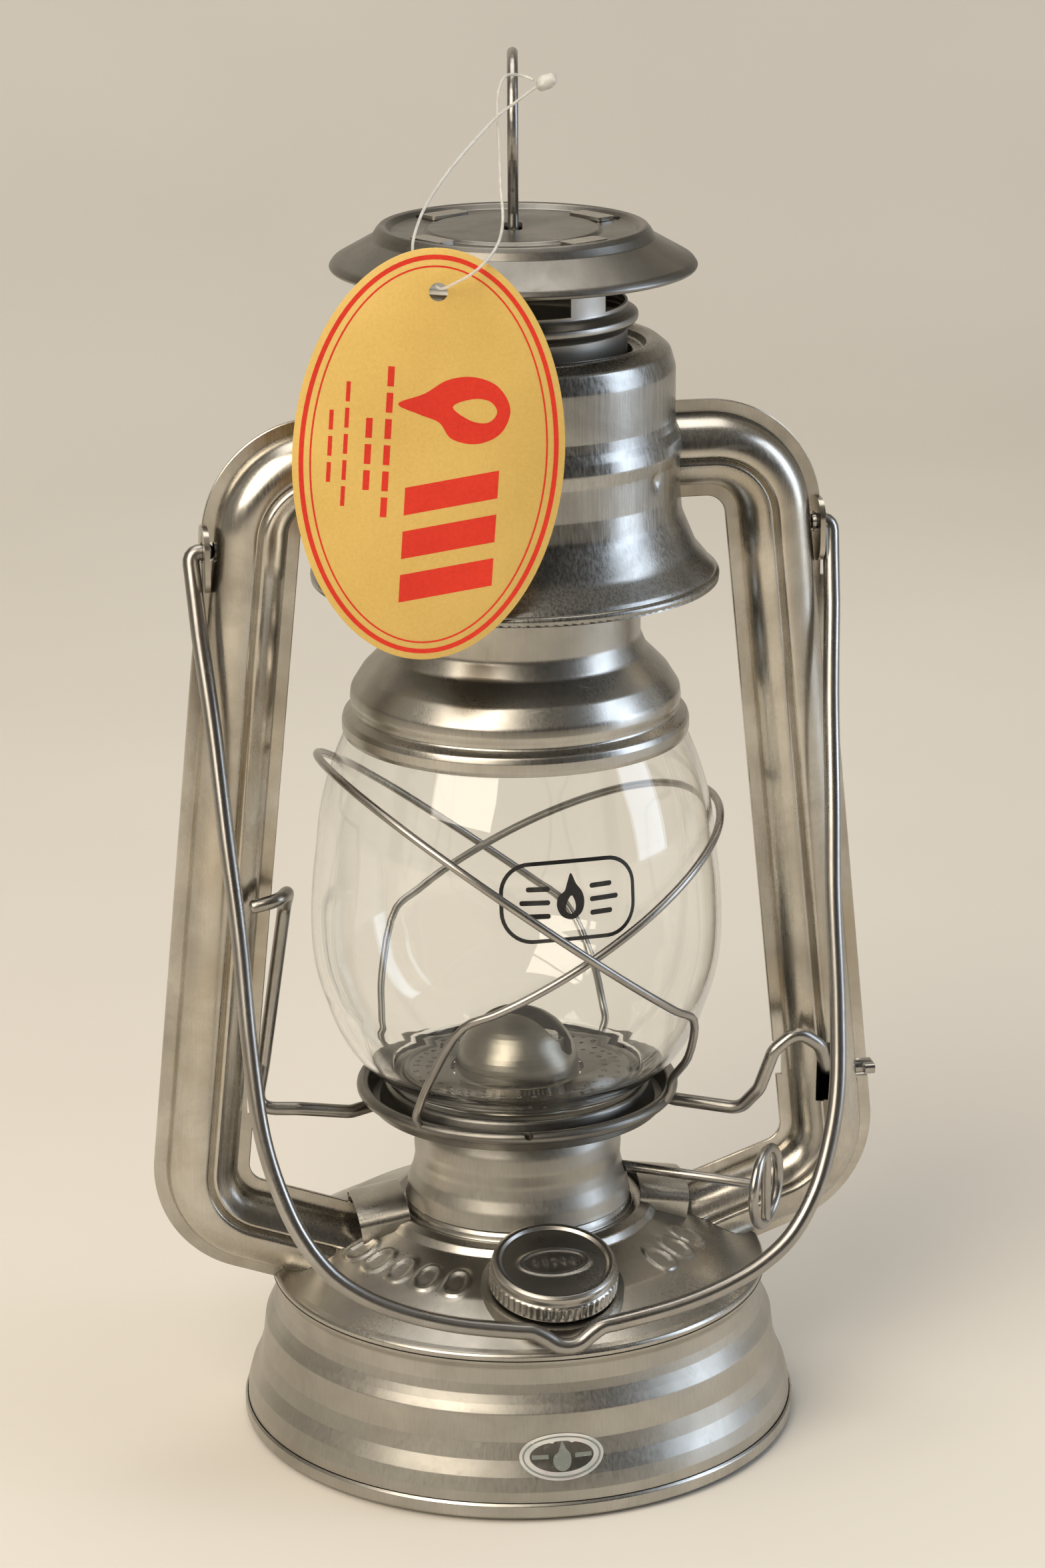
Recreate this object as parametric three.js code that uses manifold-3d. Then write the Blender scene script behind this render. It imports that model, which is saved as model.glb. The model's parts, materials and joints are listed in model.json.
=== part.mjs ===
// Barn lantern: a small tubular oil lantern, built as an assembly of its real pieces.
// Millimetres, +Z up. The origin is the centre of the base; the two side tubes stand in the XZ plane,
// and the filler cap is at the front, towards -Y.
import * as THREE from "three";
import { mergeVertices } from "three/addons/utils/BufferGeometryUtils.js";
import Module from "manifold-3d";

const wasm = await Module();
wasm.setup();

// ---------------------------------------------------------------- driving dimensions
const GAP = 0.3; // between pieces that touch on the real object
const SHEET = 0.6; // tinplate
const MERGE_DISTANCE = 1e-3;
const ROUND_STEPS = 24; // sides of the large turned pieces
const SMALL_ROUND_STEPS = 16;
const PI = Math.PI;

const TANK_RADIUS = 51.6;
const TANK_SEAM_HEIGHT = 28;
const RIM_HEIGHT = 3;
const BASE_RECESS = 1.2;
const COLLAR_RADIUS = 20.4;
const COLLAR_FOOT = 42.6;
const COLLAR_TOP = 59.8;
const BURNER_HOLE_RADIUS = 17.2;

const PLATE_HEIGHT = 63.8; // centre of the globe plate's rolled rim
const PLATE_RADIUS = 28.55;
const PLATE_ROLL = 1.15;
const GLASS_WALL = 1.5;
const CROWN_RADIUS = 22.5;
const CROWN_SHOULDER = 160;
const BELL_TOP = 203.5;
const BELL_RIM_HEIGHT = 160.4;
const CHIMNEY_RADIUS = 20;
const CHIMNEY_BOTTOM = 152;
const CHIMNEY_WINDOW_BOTTOM = 210;
const CHIMNEY_TOP = 221.1;
const HOOD_RADIUS = 32.3;
const OVERALL_HEIGHT = 254;

const TUBE_WIDTH = 17.6; // in the lantern's plane, with both seams
const TUBE_LOBE_OUTER = 6.7; // half thickness, front to back
const TUBE_LOBE_INNER = 6.0;
const TUBE_SEAM = 2.3; // width of the flat crimped seam
const TUBE_BEND = 12.4; // centreline radius of both elbows
const TUBE_TOP = 182; // height of the upper leg

const BAIL_WIRE = 1.5; // radii of the wires
const LEVER_WIRE = 1.25;
const GUARD_WIRE = 0.75;
const RING_WIRE = 0.95;
const SHAFT_WIRE = 1.0;
const STRING_WIRE = 0.25;

const BAIL_PIVOT = 167.5;
const BAIL_REST_ANGLE = 19; // degrees in front of straight down
const LEVER_PIVOT = 61.6;
const HOOP_RADIUS = 22.9;
const HOOP_HEIGHT = 58.6;

const SHAFT_ANGLE = -33; // degrees from +X to the wick raiser's outer end
const SHAFT_HEIGHT = 46.8;
const SHAFT_OFFSET = 7.6; // from the lantern's axis
const SHAFT_REACH = 46.2; // along the shaft, to the middle of the thumb ring
const WICK_WIDTH = 16;
const WICK_THICKNESS = 2.4;

const CAP_TILT = 15;
const CAP_RADIUS = 11.5;
const CAP_HEIGHT = 5.2;
const CAP_SEAT = new THREE.Vector3(0, -32.7, 37.4); // middle of the cap's lower edge
const NECK_RADIUS = 9;

const TAG_TURN = -11; // the tag and the lift ring both face a little to the left
const TAG_LEAN = -4; // the tag hangs a little off plumb
const TAG_CENTRE = new THREE.Vector3(-21.4, -34.6, 190.8);
const TAG_SIZE = { width: 45.8, height: 70.8, thickness: 0.4, hole: 1.6, holeHeight: 28 };

// ---------------------------------------------------------------- materials
function metal(color, roughness = 0.35) {
  return new THREE.MeshStandardMaterial({ color, roughness, metalness: 1 });
}
const MATERIAL = {
  tinplate: metal(0x9a968c),
  brightTin: metal(0xb4b0a6, 0.25),
  wire: metal(0x85817a, 0.3),
  burner: metal(0x8f887a, 0.4),
  glass: new THREE.MeshStandardMaterial({
    color: 0xeef3f2,
    roughness: 0.03,
    metalness: 0,
    transparent: true,
    opacity: 0.3,
  }),
  cotton: new THREE.MeshStandardMaterial({ color: 0xe6dfcd, roughness: 0.95, metalness: 0 }),
  gasket: new THREE.MeshStandardMaterial({ color: 0x3a3632, roughness: 0.85, metalness: 0 }),
  card: new THREE.MeshStandardMaterial({ color: 0xdec46a, roughness: 0.6, metalness: 0 }),
  clear: new THREE.MeshStandardMaterial({ color: 0xe8e8e4, roughness: 0.15, metalness: 0 }),
};

// ---------------------------------------------------------------- geometry helpers
const radians = THREE.MathUtils.degToRad;
const flat = (x, y) => new THREE.Vector2(x, y);
const at = (x, y, z) => new THREE.Vector3(x, y, z);

/** A closed geometry as a manifold solid. */
function solidOf(geometry) {
  const bare = geometry.index ? geometry.toNonIndexed() : geometry.clone();
  bare.deleteAttribute("normal");
  bare.deleteAttribute("uv");
  const merged = mergeVertices(bare, MERGE_DISTANCE);
  return new wasm.Manifold(
    new wasm.Mesh({
      numProp: 3,
      vertProperties: Float32Array.from(merged.attributes.position.array),
      triVerts: Uint32Array.from(merged.index.array),
    }),
  );
}

/** A manifold solid back as a geometry. */
function geometryOf(solid) {
  const mesh = solid.getMesh();
  const geometry = new THREE.BufferGeometry();
  geometry.setAttribute("position", new THREE.BufferAttribute(mesh.vertProperties, 3));
  geometry.setIndex(new THREE.BufferAttribute(mesh.triVerts, 1));
  geometry.computeVertexNormals();
  return geometry;
}

const cut = (body, ...tools) =>
  geometryOf(tools.reduce((left, tool) => left.subtract(solidOf(tool)), solidOf(body)));
const join = (...pieces) =>
  geometryOf(pieces.slice(1).reduce((sum, piece) => sum.add(solidOf(piece)), solidOf(pieces[0])));
const overlap = (a, b) => geometryOf(solidOf(a).intersect(solidOf(b)));

/** Twice the area inside an outline, positive when its points run anticlockwise. */
function turning(points) {
  return points.reduce((sum, point, i) => {
    const next = points[(i + 1) % points.length];
    return sum + point.x * next.y - next.x * point.y;
  }, 0);
}

/** A solid turned about +Z from an outline of (radius, height) points. */
function spin(points, steps = ROUND_STEPS) {
  const ordered = turning(points) > 0 ? points : [...points].reverse();
  return new THREE.LatheGeometry(ordered, steps).rotateX(PI / 2);
}

/** An open line moved sideways by a distance, with mitred corners. */
function shifted(points, distance) {
  const normals = points.slice(1).map((point, i) => {
    const along = point.clone().sub(points[i]).normalize();
    return flat(along.y, -along.x);
  });
  return points.map((point, i) => {
    const before = normals[Math.max(i - 1, 0)];
    const after = normals[Math.min(i, normals.length - 1)];
    const middle = before.clone().add(after).normalize();
    return point.clone().addScaledVector(middle, distance / Math.max(middle.dot(before), 0.6));
  });
}

/** A turned sheet-metal shell. The line runs along its outer face, with the outside on its right. */
function turnedSheet(line, { wall = SHEET, steps = ROUND_STEPS } = {}) {
  const outer = line.map(([radius, height]) => flat(radius, height));
  const inner = shifted(outer, -wall).reverse();
  const outline = [...outer, ...inner];
  return spin([...outline, outline[0].clone()], steps);
}

/** A filled turned body under a line, down to the height of its first point, grown by a clearance. */
function turnedBlock(line, clearance = 0, steps = ROUND_STEPS) {
  const outer = shifted(
    line.map(([radius, height]) => flat(radius, height)),
    clearance,
  );
  return spin([flat(0, outer[0].y), ...outer, flat(0, outer.at(-1).y)], steps);
}

function cylinder(radius, bottom, top, steps = SMALL_ROUND_STEPS) {
  return new THREE.CylinderGeometry(radius, radius, top - bottom, steps)
    .rotateX(PI / 2)
    .translate(0, 0, (top + bottom) / 2);
}

function box([x0, x1], [y0, y1], [z0, z1]) {
  return new THREE.BoxGeometry(x1 - x0, y1 - y0, z1 - z0).translate(
    (x0 + x1) / 2,
    (y0 + y1) / 2,
    (z0 + z1) / 2,
  );
}

/** A curve that passes straight from station to station, so that a sweep has one step per station. */
class Stations extends THREE.Curve {
  constructor(points) {
    super();
    this.points = points;
  }

  getUtoTmapping(u) {
    return u;
  }

  getPoint(t, target = new THREE.Vector3()) {
    const place = THREE.MathUtils.clamp(t, 0, 1) * (this.points.length - 1);
    const i = Math.min(Math.floor(place), this.points.length - 2);
    return target.lerpVectors(this.points[i], this.points[i + 1], place - i);
  }
}

/** Stations along a bent line: straight runs, with each corner rounded to about the given radius. */
function bent(corners, radius, arcSteps = 4) {
  const stations = [corners[0]];
  for (let i = 1; i < corners.length - 1; i++) {
    const back = corners[i - 1].clone().sub(corners[i]);
    const ahead = corners[i + 1].clone().sub(corners[i]);
    const wanted = radius / Math.tan(back.angleTo(ahead) / 2);
    const reach = Math.min(wanted, 0.45 * back.length(), 0.45 * ahead.length());
    const arc = new THREE.QuadraticBezierCurve3(
      corners[i].clone().addScaledVector(back.normalize(), reach),
      corners[i],
      corners[i].clone().addScaledVector(ahead.normalize(), reach),
    );
    stations.push(...arc.getPoints(arcSteps));
  }
  stations.push(corners.at(-1));
  return stations;
}

/** Stations spaced evenly along a smooth curve through the points. */
function smooth(points, steps) {
  return new THREE.CatmullRomCurve3(points, false, "centripetal").getSpacedPoints(steps);
}

function sweep(section, stations) {
  return new THREE.ExtrudeGeometry(new THREE.Shape(section), {
    steps: stations.length - 1,
    bevelEnabled: false,
    extrudePath: new Stations(stations),
  });
}

function ringSection(radius, sides) {
  return Array.from({ length: sides }, (_, i) =>
    flat(radius * Math.cos((2 * PI * i) / sides), radius * Math.sin((2 * PI * i) / sides)),
  );
}

const wire = (stations, radius, sides = 8) => sweep(ringSection(radius, sides), stations);

// ---------------------------------------------------------------- assembly
const lantern = new THREE.Group();

function add(name, geometry, material, parent = lantern) {
  const mesh = new THREE.Mesh(geometry, material);
  mesh.name = name;
  parent.add(mesh);
  return mesh;
}

// ---------------------------------------------------------------- tank
const DOME_LINE = [
  [45.9, TANK_SEAM_HEIGHT + GAP],
  [44.6, 29.8],
  [35.5, 35.4],
  [25.4, 39.2],
  [24.4, 40.8],
  [21.6, 40.8],
  [20.8, COLLAR_FOOT - GAP],
  [BURNER_HOLE_RADIUS, COLLAR_FOOT - GAP],
];

function tankBottom() {
  return turnedSheet(
    [
      [0, BASE_RECESS],
      [47.5, BASE_RECESS],
      [49.2, 0],
      [TANK_RADIUS - 0.6, 0],
      [TANK_RADIUS, 1],
      [TANK_RADIUS, RIM_HEIGHT],
    ],
    { wall: 0.7 },
  );
}

function tankBody() {
  return turnedSheet([
    [50.9, RIM_HEIGHT + GAP],
    [50.6, 6.6],
    [48.3, 12.4],
    [47.6, 18.4],
    [46.1, 21],
    [45.2, 26],
    [45.9, TANK_SEAM_HEIGHT - GAP],
  ]);
}

/** Places a geometry that is modelled upright about the filler's own axis. */
function onFiller(geometry) {
  return geometry.rotateX(radians(CAP_TILT)).translate(CAP_SEAT.x, CAP_SEAT.y, CAP_SEAT.z);
}

function tankDome() {
  const bossRadius = 12.9;
  const seat = -0.5; // below the cap's lower edge
  const bossDepth = 5;
  const clearHeight = 12;
  const outside = cut(
    join(
      turnedBlock(DOME_LINE),
      onFiller(cylinder(bossRadius, seat - bossDepth, seat, SMALL_ROUND_STEPS)),
    ),
    onFiller(cylinder(bossRadius, seat, clearHeight)),
  );
  const innerLine = shifted(
    DOME_LINE.map(([radius, height]) => flat(radius, height)),
    -SHEET,
  );
  const insideFloor = flat(innerLine[0].x, TANK_SEAM_HEIGHT - 1);
  const innerTop = innerLine.at(-1).y;
  const hollow = spin([
    flat(0, insideFloor.y),
    insideFloor,
    ...innerLine.slice(0, -1),
    flat(BURNER_HOLE_RADIUS + 1, innerTop),
    flat(0, innerTop),
  ]);
  const inside = cut(
    join(hollow, onFiller(cylinder(bossRadius - SHEET, seat - 2 * bossDepth, seat - SHEET))),
    onFiller(cylinder(bossRadius + SHEET, seat - SHEET, clearHeight)),
  );
  const aboveSeam = box([-60, 60], [-60, 60], [TANK_SEAM_HEIGHT + GAP, COLLAR_FOOT]);
  return overlap(
    cut(
      outside,
      inside,
      onFiller(cylinder(NECK_RADIUS + GAP, -clearHeight, clearHeight)),
      cylinder(BURNER_HOLE_RADIUS, TANK_SEAM_HEIGHT, COLLAR_FOOT + 1, ROUND_STEPS),
    ),
    aboveSeam,
  );
}

function fillerNeck() {
  return onFiller(
    turnedSheet(
      [
        [NECK_RADIUS, -4.5],
        [NECK_RADIUS, 2.9],
      ],
      { wall: 0.8, steps: SMALL_ROUND_STEPS },
    ),
  );
}

function fillerCap() {
  return onFiller(
    turnedSheet(
      [
        [CAP_RADIUS, 0],
        [CAP_RADIUS + 0.2, 1],
        [CAP_RADIUS - 0.1, 4],
        [CAP_RADIUS - 0.3, CAP_HEIGHT - 0.3],
        [CAP_RADIUS - 0.9, CAP_HEIGHT],
        [CAP_RADIUS - 1.5, CAP_HEIGHT - 0.1],
        [CAP_RADIUS - 2, CAP_HEIGHT - 0.6],
        [0, CAP_HEIGHT - 0.6],
      ],
      { steps: SMALL_ROUND_STEPS },
    ),
  );
}

const capGasket = () => onFiller(cylinder(NECK_RADIUS + 0.4, 3.1, 3.7));

add("tank_bottom", tankBottom(), MATERIAL.tinplate);
add("tank_body", tankBody(), MATERIAL.tinplate);
add("tank_dome", tankDome(), MATERIAL.tinplate);
add("filler_neck", fillerNeck(), MATERIAL.tinplate);
add("filler_cap", fillerCap(), MATERIAL.brightTin);
add("cap_gasket", capGasket(), MATERIAL.gasket);

// ---------------------------------------------------------------- burner
const BURNER_CUP_RADIUS = 16.5;
const DECK_HEIGHT = 55.4;
const DECK_RADIUS = 18.2;
const FLAME_DOME_RADIUS = 11.6;
const WICK_TUBE_WALL = 0.6;
const WICK_CLEARANCE = 0.4;
const WICK_TUBE_BOTTOM = 30;
const WICK_TUBE_TOP = 73;
const WICK_BOTTOM = 8;
const WICK_TOP = 74.4;
const SPUR_RADIUS = 5.9;
const SPUR_TEETH = 14;
const SPUR_WIDTH = 1.4;
const SPUR_PLACES = [-4.6, 4.6]; // along the shaft, from the middle of the wick

const alongShaft = (geometry) => geometry.rotateZ(radians(SHAFT_ANGLE));

function burnerCollar() {
  return turnedSheet([
    [COLLAR_RADIUS, COLLAR_FOOT],
    [COLLAR_RADIUS - 0.4, 45.8],
    [COLLAR_RADIUS - 1.4, 50.4],
    [COLLAR_RADIUS - 1.1, 52.6],
    [COLLAR_RADIUS - 2, 57],
    [COLLAR_RADIUS - 3.6, COLLAR_TOP],
  ]);
}

function blockAboutWick(halfLength, halfThickness, bottom, top) {
  return alongShaft(
    box([-halfLength, halfLength], [-halfThickness, halfThickness], [bottom, top]),
  );
}

const WICK_TUBE_OUTER = {
  length: WICK_WIDTH / 2 + WICK_CLEARANCE + WICK_TUBE_WALL,
  thickness: WICK_THICKNESS / 2 + WICK_CLEARANCE + WICK_TUBE_WALL,
};

function wickTube() {
  const slots = SPUR_PLACES.map((place) =>
    alongShaft(
      box(
        [place - SPUR_WIDTH, place + SPUR_WIDTH],
        [0, 2 * WICK_TUBE_OUTER.thickness],
        [SHAFT_HEIGHT - SPUR_RADIUS, SHAFT_HEIGHT + SPUR_RADIUS],
      ),
    ),
  );
  return cut(
    blockAboutWick(
      WICK_TUBE_OUTER.length,
      WICK_TUBE_OUTER.thickness,
      WICK_TUBE_BOTTOM,
      WICK_TUBE_TOP,
    ),
    blockAboutWick(
      WICK_WIDTH / 2 + WICK_CLEARANCE,
      WICK_THICKNESS / 2 + WICK_CLEARANCE,
      WICK_TUBE_BOTTOM - 1,
      WICK_TUBE_TOP + 1,
    ),
    ...slots,
  );
}

const wickTubeHole = (bottom, top) =>
  blockAboutWick(WICK_TUBE_OUTER.length + GAP, WICK_TUBE_OUTER.thickness + GAP, bottom, top);

function burnerCup() {
  const floor = 38.8;
  const cup = turnedSheet([
    [0, floor],
    [BURNER_CUP_RADIUS, floor],
    [BURNER_CUP_RADIUS, COLLAR_FOOT],
    [BURNER_CUP_RADIUS + 2, COLLAR_FOOT],
  ]);
  return cut(cup, wickTubeHole(floor - 2, floor + 2));
}

function burnerDeck() {
  const airHoleCount = 6;
  const airHoles = Array.from({ length: airHoleCount }, (_, i) =>
    cylinder(1.6, DECK_HEIGHT - 1, DECK_HEIGHT + 2, 6)
      .translate(15, 0, 0)
      .rotateZ((2 * PI * (i + 0.5)) / airHoleCount),
  );
  const disc = cylinder(DECK_RADIUS - 2 * GAP, DECK_HEIGHT, DECK_HEIGHT + SHEET, ROUND_STEPS);
  return cut(disc, wickTubeHole(DECK_HEIGHT - 1, DECK_HEIGHT + 2), ...airHoles);
}

function burnerDome() {
  const foot = DECK_HEIGHT + SHEET + GAP;
  const spring = 66; // where the dome's curve starts
  const rise = 12.3;
  const curve = Array.from({ length: 5 }, (_, i) => {
    const angle = (PI / 2) * (i / 5);
    return [FLAME_DOME_RADIUS * Math.cos(angle), spring + rise * Math.sin(angle)];
  });
  const line = [[FLAME_DOME_RADIUS, foot], ...curve, [0, spring + rise]];
  const shell = turnedSheet(line, { steps: SMALL_ROUND_STEPS });
  const flameSlot = alongShaft(box([-9.3, 9.3], [-2.6, 2.6], [spring + 5, spring + rise + 2]));
  return cut(shell, flameSlot);
}

function spurWheel(place) {
  const points = Array.from({ length: 2 * SPUR_TEETH }, (_, i) => {
    const radius = i % 2 ? SPUR_RADIUS : SPUR_RADIUS - 0.9;
    const angle = (PI * i) / SPUR_TEETH;
    return flat(radius * Math.cos(angle), radius * Math.sin(angle));
  });
  const shape = new THREE.Shape(points);
  shape.holes.push(new THREE.Path(ringSection(SHAFT_WIRE + GAP, 8)));
  const wheel = new THREE.ExtrudeGeometry(shape, { depth: SPUR_WIDTH, bevelEnabled: false });
  return alongShaft(
    wheel.rotateY(PI / 2).translate(place - SPUR_WIDTH / 2, SHAFT_OFFSET, SHAFT_HEIGHT),
  );
}

const THUMB_RING_RADIUS = 7.1;
const THUMB_RING_WIRE = 0.95;

function wickShaft() {
  const innerEnd = -9;
  const outerEnd = SHAFT_REACH - THUMB_RING_WIRE - GAP;
  const line = [at(innerEnd, SHAFT_OFFSET, SHAFT_HEIGHT), at(outerEnd, SHAFT_OFFSET, SHAFT_HEIGHT)];
  return alongShaft(wire(line, SHAFT_WIRE));
}

function thumbRing() {
  const loop = new THREE.TorusGeometry(THUMB_RING_RADIUS, THUMB_RING_WIRE, 6, 20);
  const bar = wire([at(-THUMB_RING_RADIUS, 0, 0), at(THUMB_RING_RADIUS, 0, 0)], THUMB_RING_WIRE);
  return alongShaft(
    join(loop, bar).rotateY(PI / 2).translate(SHAFT_REACH, SHAFT_OFFSET, SHAFT_HEIGHT),
  );
}

const collar = cut(
  burnerCollar(),
  alongShaft(
    cylinder(SHAFT_WIRE + GAP, 0, 30, 12)
      .rotateY(PI / 2)
      .translate(0, SHAFT_OFFSET, SHAFT_HEIGHT),
  ),
);
add("burner_collar", collar, MATERIAL.tinplate);
add("burner_cup", burnerCup(), MATERIAL.burner);
add("burner_deck", burnerDeck(), MATERIAL.burner);
add("burner_dome", burnerDome(), MATERIAL.burner);
add("wick_tube", wickTube(), MATERIAL.burner);
add(
  "wick",
  blockAboutWick(WICK_WIDTH / 2, WICK_THICKNESS / 2, WICK_BOTTOM, WICK_TOP),
  MATERIAL.cotton,
);
add("wick_shaft", wickShaft(), MATERIAL.wire);
SPUR_PLACES.forEach((place, i) => add(`spur_wheel_${i + 1}`, spurWheel(place), MATERIAL.burner));
add("thumb_ring", thumbRing(), MATERIAL.wire);

// ---------------------------------------------------------------- globe carriage
const GLASS_LINE = [
  [23.8, 66.1],
  [30.2, 71.6],
  [34.1, 78.6],
  [36.9, 88],
  [37.5, 97],
  [36.6, 108.5],
  [33.9, 123.4],
  [29.6, 133],
  [27.3, 141.2],
];

function glassRadius(height) {
  const above = GLASS_LINE.findIndex(([, z]) => z >= height);
  if (above === 0) return GLASS_LINE[0][0];
  if (above < 0) return GLASS_LINE.at(-1)[0];
  const [[r0, z0], [r1, z1]] = [GLASS_LINE[above - 1], GLASS_LINE[above]];
  return THREE.MathUtils.mapLinear(height, z0, z1, r0, r1);
}

function globePlate() {
  const pan = turnedSheet(
    [
      [28.2, 62.9],
      [27.1, 60.7],
      [25.1, 60.7],
      [24.1, 64.9],
      [21.7, 65.1],
      [20.9, 66.3],
      [20.3, 65.8],
      [12.4, 66.2],
    ].reverse(),
  );
  const roll = new THREE.TorusGeometry(PLATE_RADIUS, PLATE_ROLL, 6, ROUND_STEPS);
  const spareHole = cylinder(0.7, -2, 2, 8).rotateX(PI / 2);
  return cut(
    join(pan, roll.translate(0, 0, PLATE_HEIGHT)),
    spareHole.translate(0, -PLATE_RADIUS - PLATE_ROLL, PLATE_HEIGHT + 1),
  );
}

/** A guard wire: a tilted hoop round the globe, with both ends hooked over the plate's rim. */
function guardWire({ middle, slopeX, slopeY, from, to, hooks, standOff }) {
  const hoopSteps = 14;
  const around = (angle, height, radius) =>
    at(radius * Math.cos(radians(angle)), radius * Math.sin(radians(angle)), height);
  const hoopHeight = (angle) => {
    let height = middle;
    for (let pass = 0; pass < 6; pass++) {
      const radius = glassRadius(height) + standOff;
      const x = radius * Math.cos(radians(angle));
      const y = radius * Math.sin(radians(angle));
      height = middle + slopeX * x + slopeY * y;
    }
    return height;
  };
  const hoop = Array.from({ length: hoopSteps + 1 }, (_, i) => {
    const angle = THREE.MathUtils.lerp(from, to, i / hoopSteps);
    const height = hoopHeight(angle);
    return around(angle, height, glassRadius(height) + standOff);
  });
  const rim = PLATE_HEIGHT;
  const outside = PLATE_RADIUS + PLATE_ROLL + GAP + GUARD_WIRE;
  const leg = (bend, hookAngle) => {
    const middleHeight = (hoopHeight(bend) + rim) / 2 + 1;
    const partWay = (share) => THREE.MathUtils.lerp(bend, hookAngle, share);
    return [
      around(partWay(0.5), middleHeight, glassRadius(middleHeight) + standOff),
      around(partWay(0.9), rim + 3.2, outside + 0.5),
    ];
  };
  const hook = (angle) => [
    around(angle, rim + 0.6, outside + 0.1),
    around(angle, rim - 1.1, outside - 0.1),
    around(angle, rim - 2.3, outside - 1.1),
  ];
  const stations = [
    ...hook(hooks[0]).reverse(),
    ...smooth([...leg(from, hooks[0]).reverse(), ...hoop, ...leg(to, hooks[1])], 38),
    ...hook(hooks[1]),
  ];
  return wire(stations, GUARD_WIRE, 6);
}

const INNER_STAND_OFF = GUARD_WIRE + GAP + 0.25;
const OUTER_STAND_OFF = INNER_STAND_OFF + 2 * GUARD_WIRE + GAP;

add("globe_plate", globePlate(), MATERIAL.tinplate);
add("glass_globe", turnedSheet(GLASS_LINE, { wall: GLASS_WALL }), MATERIAL.glass);
add(
  "guard_wire_right",
  guardWire({
    middle: 96.9,
    slopeX: 0.537,
    slopeY: 0,
    from: -115,
    to: 117,
    hooks: [-138, 140],
    standOff: INNER_STAND_OFF,
  }),
  MATERIAL.wire,
);
add(
  "guard_wire_left",
  guardWire({
    middle: 101.4,
    slopeX: -0.746,
    slopeY: -0.09,
    from: -47,
    to: -295,
    hooks: [-34, -316],
    standOff: OUTER_STAND_OFF,
  }),
  MATERIAL.wire,
);

// ---------------------------------------------------------------- chimney, crown, hood and lift ring
const CROWN_LINE = [
  [31.3, 132],
  [31.3, 134.8],
  [29.5, 137],
  [29.6, 139],
  [27.4, 143.5],
  [CROWN_RADIUS, 147],
  [CROWN_RADIUS, CROWN_SHOULDER],
  [CHIMNEY_RADIUS + GAP, CROWN_SHOULDER],
];

function chimneyTube() {
  const tube = turnedSheet([
    [CHIMNEY_RADIUS, CHIMNEY_BOTTOM],
    [CHIMNEY_RADIUS, 206.2],
    [CHIMNEY_RADIUS + 1.9, 207.6],
    [CHIMNEY_RADIUS, 209],
    [CHIMNEY_RADIUS, CHIMNEY_TOP],
  ]);
  const legCount = 4;
  const legWidth = 8;
  const turn = radians(-15); // the legs stand a little off the lantern's four quarters
  const windowSpread = (2 * PI) / legCount - legWidth / CHIMNEY_RADIUS;
  const windows = Array.from({ length: legCount }, (_, i) => {
    const sector = new THREE.Shape();
    sector.absarc(0, 0, CHIMNEY_RADIUS + 4, -windowSpread / 2, windowSpread / 2);
    sector.lineTo(0, 0);
    return new THREE.ExtrudeGeometry(sector, {
      depth: CHIMNEY_TOP,
      bevelEnabled: false,
      curveSegments: 3,
    })
      .translate(0, 0, CHIMNEY_WINDOW_BOTTOM)
      .rotateZ((2 * PI * i) / legCount + turn);
  });
  return cut(tube, ...windows);
}

function hood() {
  const sheet = turnedSheet(
    [
      [HOOD_RADIUS - 1, 215.9],
      [HOOD_RADIUS, 216.8],
      [24.6, 221.7],
      [23.4, 223.8],
      [21.4, 222],
      [15.2, 222.3],
      [14.6, 223],
      [0, 223.3],
    ],
  );
  const ringSlot = box([-1.7, 1.7], [-4.4, 4.4], [220, 226]).rotateZ(radians(TAG_TURN));
  return cut(sheet, ringSlot);
}

/** The lift ring: one wire, bent to a loop whose two feet spread under the hood. */
function liftRing() {
  const radius = 12;
  const centre = OVERALL_HEIGHT - RING_WIRE - radius;
  const openAngle = 32; // degrees from straight down to each leg
  const loop = Array.from({ length: 15 }, (_, i) => {
    const angle = radians(THREE.MathUtils.lerp(-90 + openAngle, 270 - openAngle, i / 14));
    return at(0, radius * Math.cos(angle), centre + radius * Math.sin(angle));
  });
  const legs = [at(0, 2.2, 226.5), at(0, 1.7, 221), at(0, 3.2, 219.6), at(0, 8, 219.6)];
  const mirrored = legs.map((point) => at(0, -point.y, point.z));
  const route = [...legs.reverse(), ...loop, ...mirrored];
  return wire(route, RING_WIRE, 6).rotateZ(radians(TAG_TURN));
}

add("globe_cap", turnedSheet(CROWN_LINE), MATERIAL.tinplate);
add("chimney_tube", chimneyTube(), MATERIAL.tinplate);
add("hood", hood(), MATERIAL.tinplate);
add("lift_ring", liftRing(), MATERIAL.wire);

// ---------------------------------------------------------------- bell and its spring
const BELL_LINE = [
  [36.4, BELL_RIM_HEIGHT],
  [35.1, 163],
  [32.2, 166.4],
  [29.5, 173.8],
  [29.4, 184.4],
  [30.1, 186],
  [28.5, 188],
  [28.5, 199],
  [27, 202.4],
  [23.6, BELL_TOP],
  [CHIMNEY_RADIUS + 0.7, BELL_TOP],
];

function chimneySpring() {
  const turns = 5;
  const stepsPerTurn = 10;
  const coilWire = 0.5;
  const coilRadius = CHIMNEY_RADIUS + 2.3;
  const bottom = CROWN_SHOULDER + GAP + coilWire;
  const top = BELL_TOP - SHEET - GAP - coilWire;
  const stations = Array.from({ length: turns * stepsPerTurn + 1 }, (_, i) => {
    const angle = (2 * PI * i) / stepsPerTurn;
    const height = THREE.MathUtils.lerp(bottom, top, i / (turns * stepsPerTurn));
    return at(coilRadius * Math.cos(angle), coilRadius * Math.sin(angle), height);
  });
  return wire(stations, coilWire, 5);
}

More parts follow.
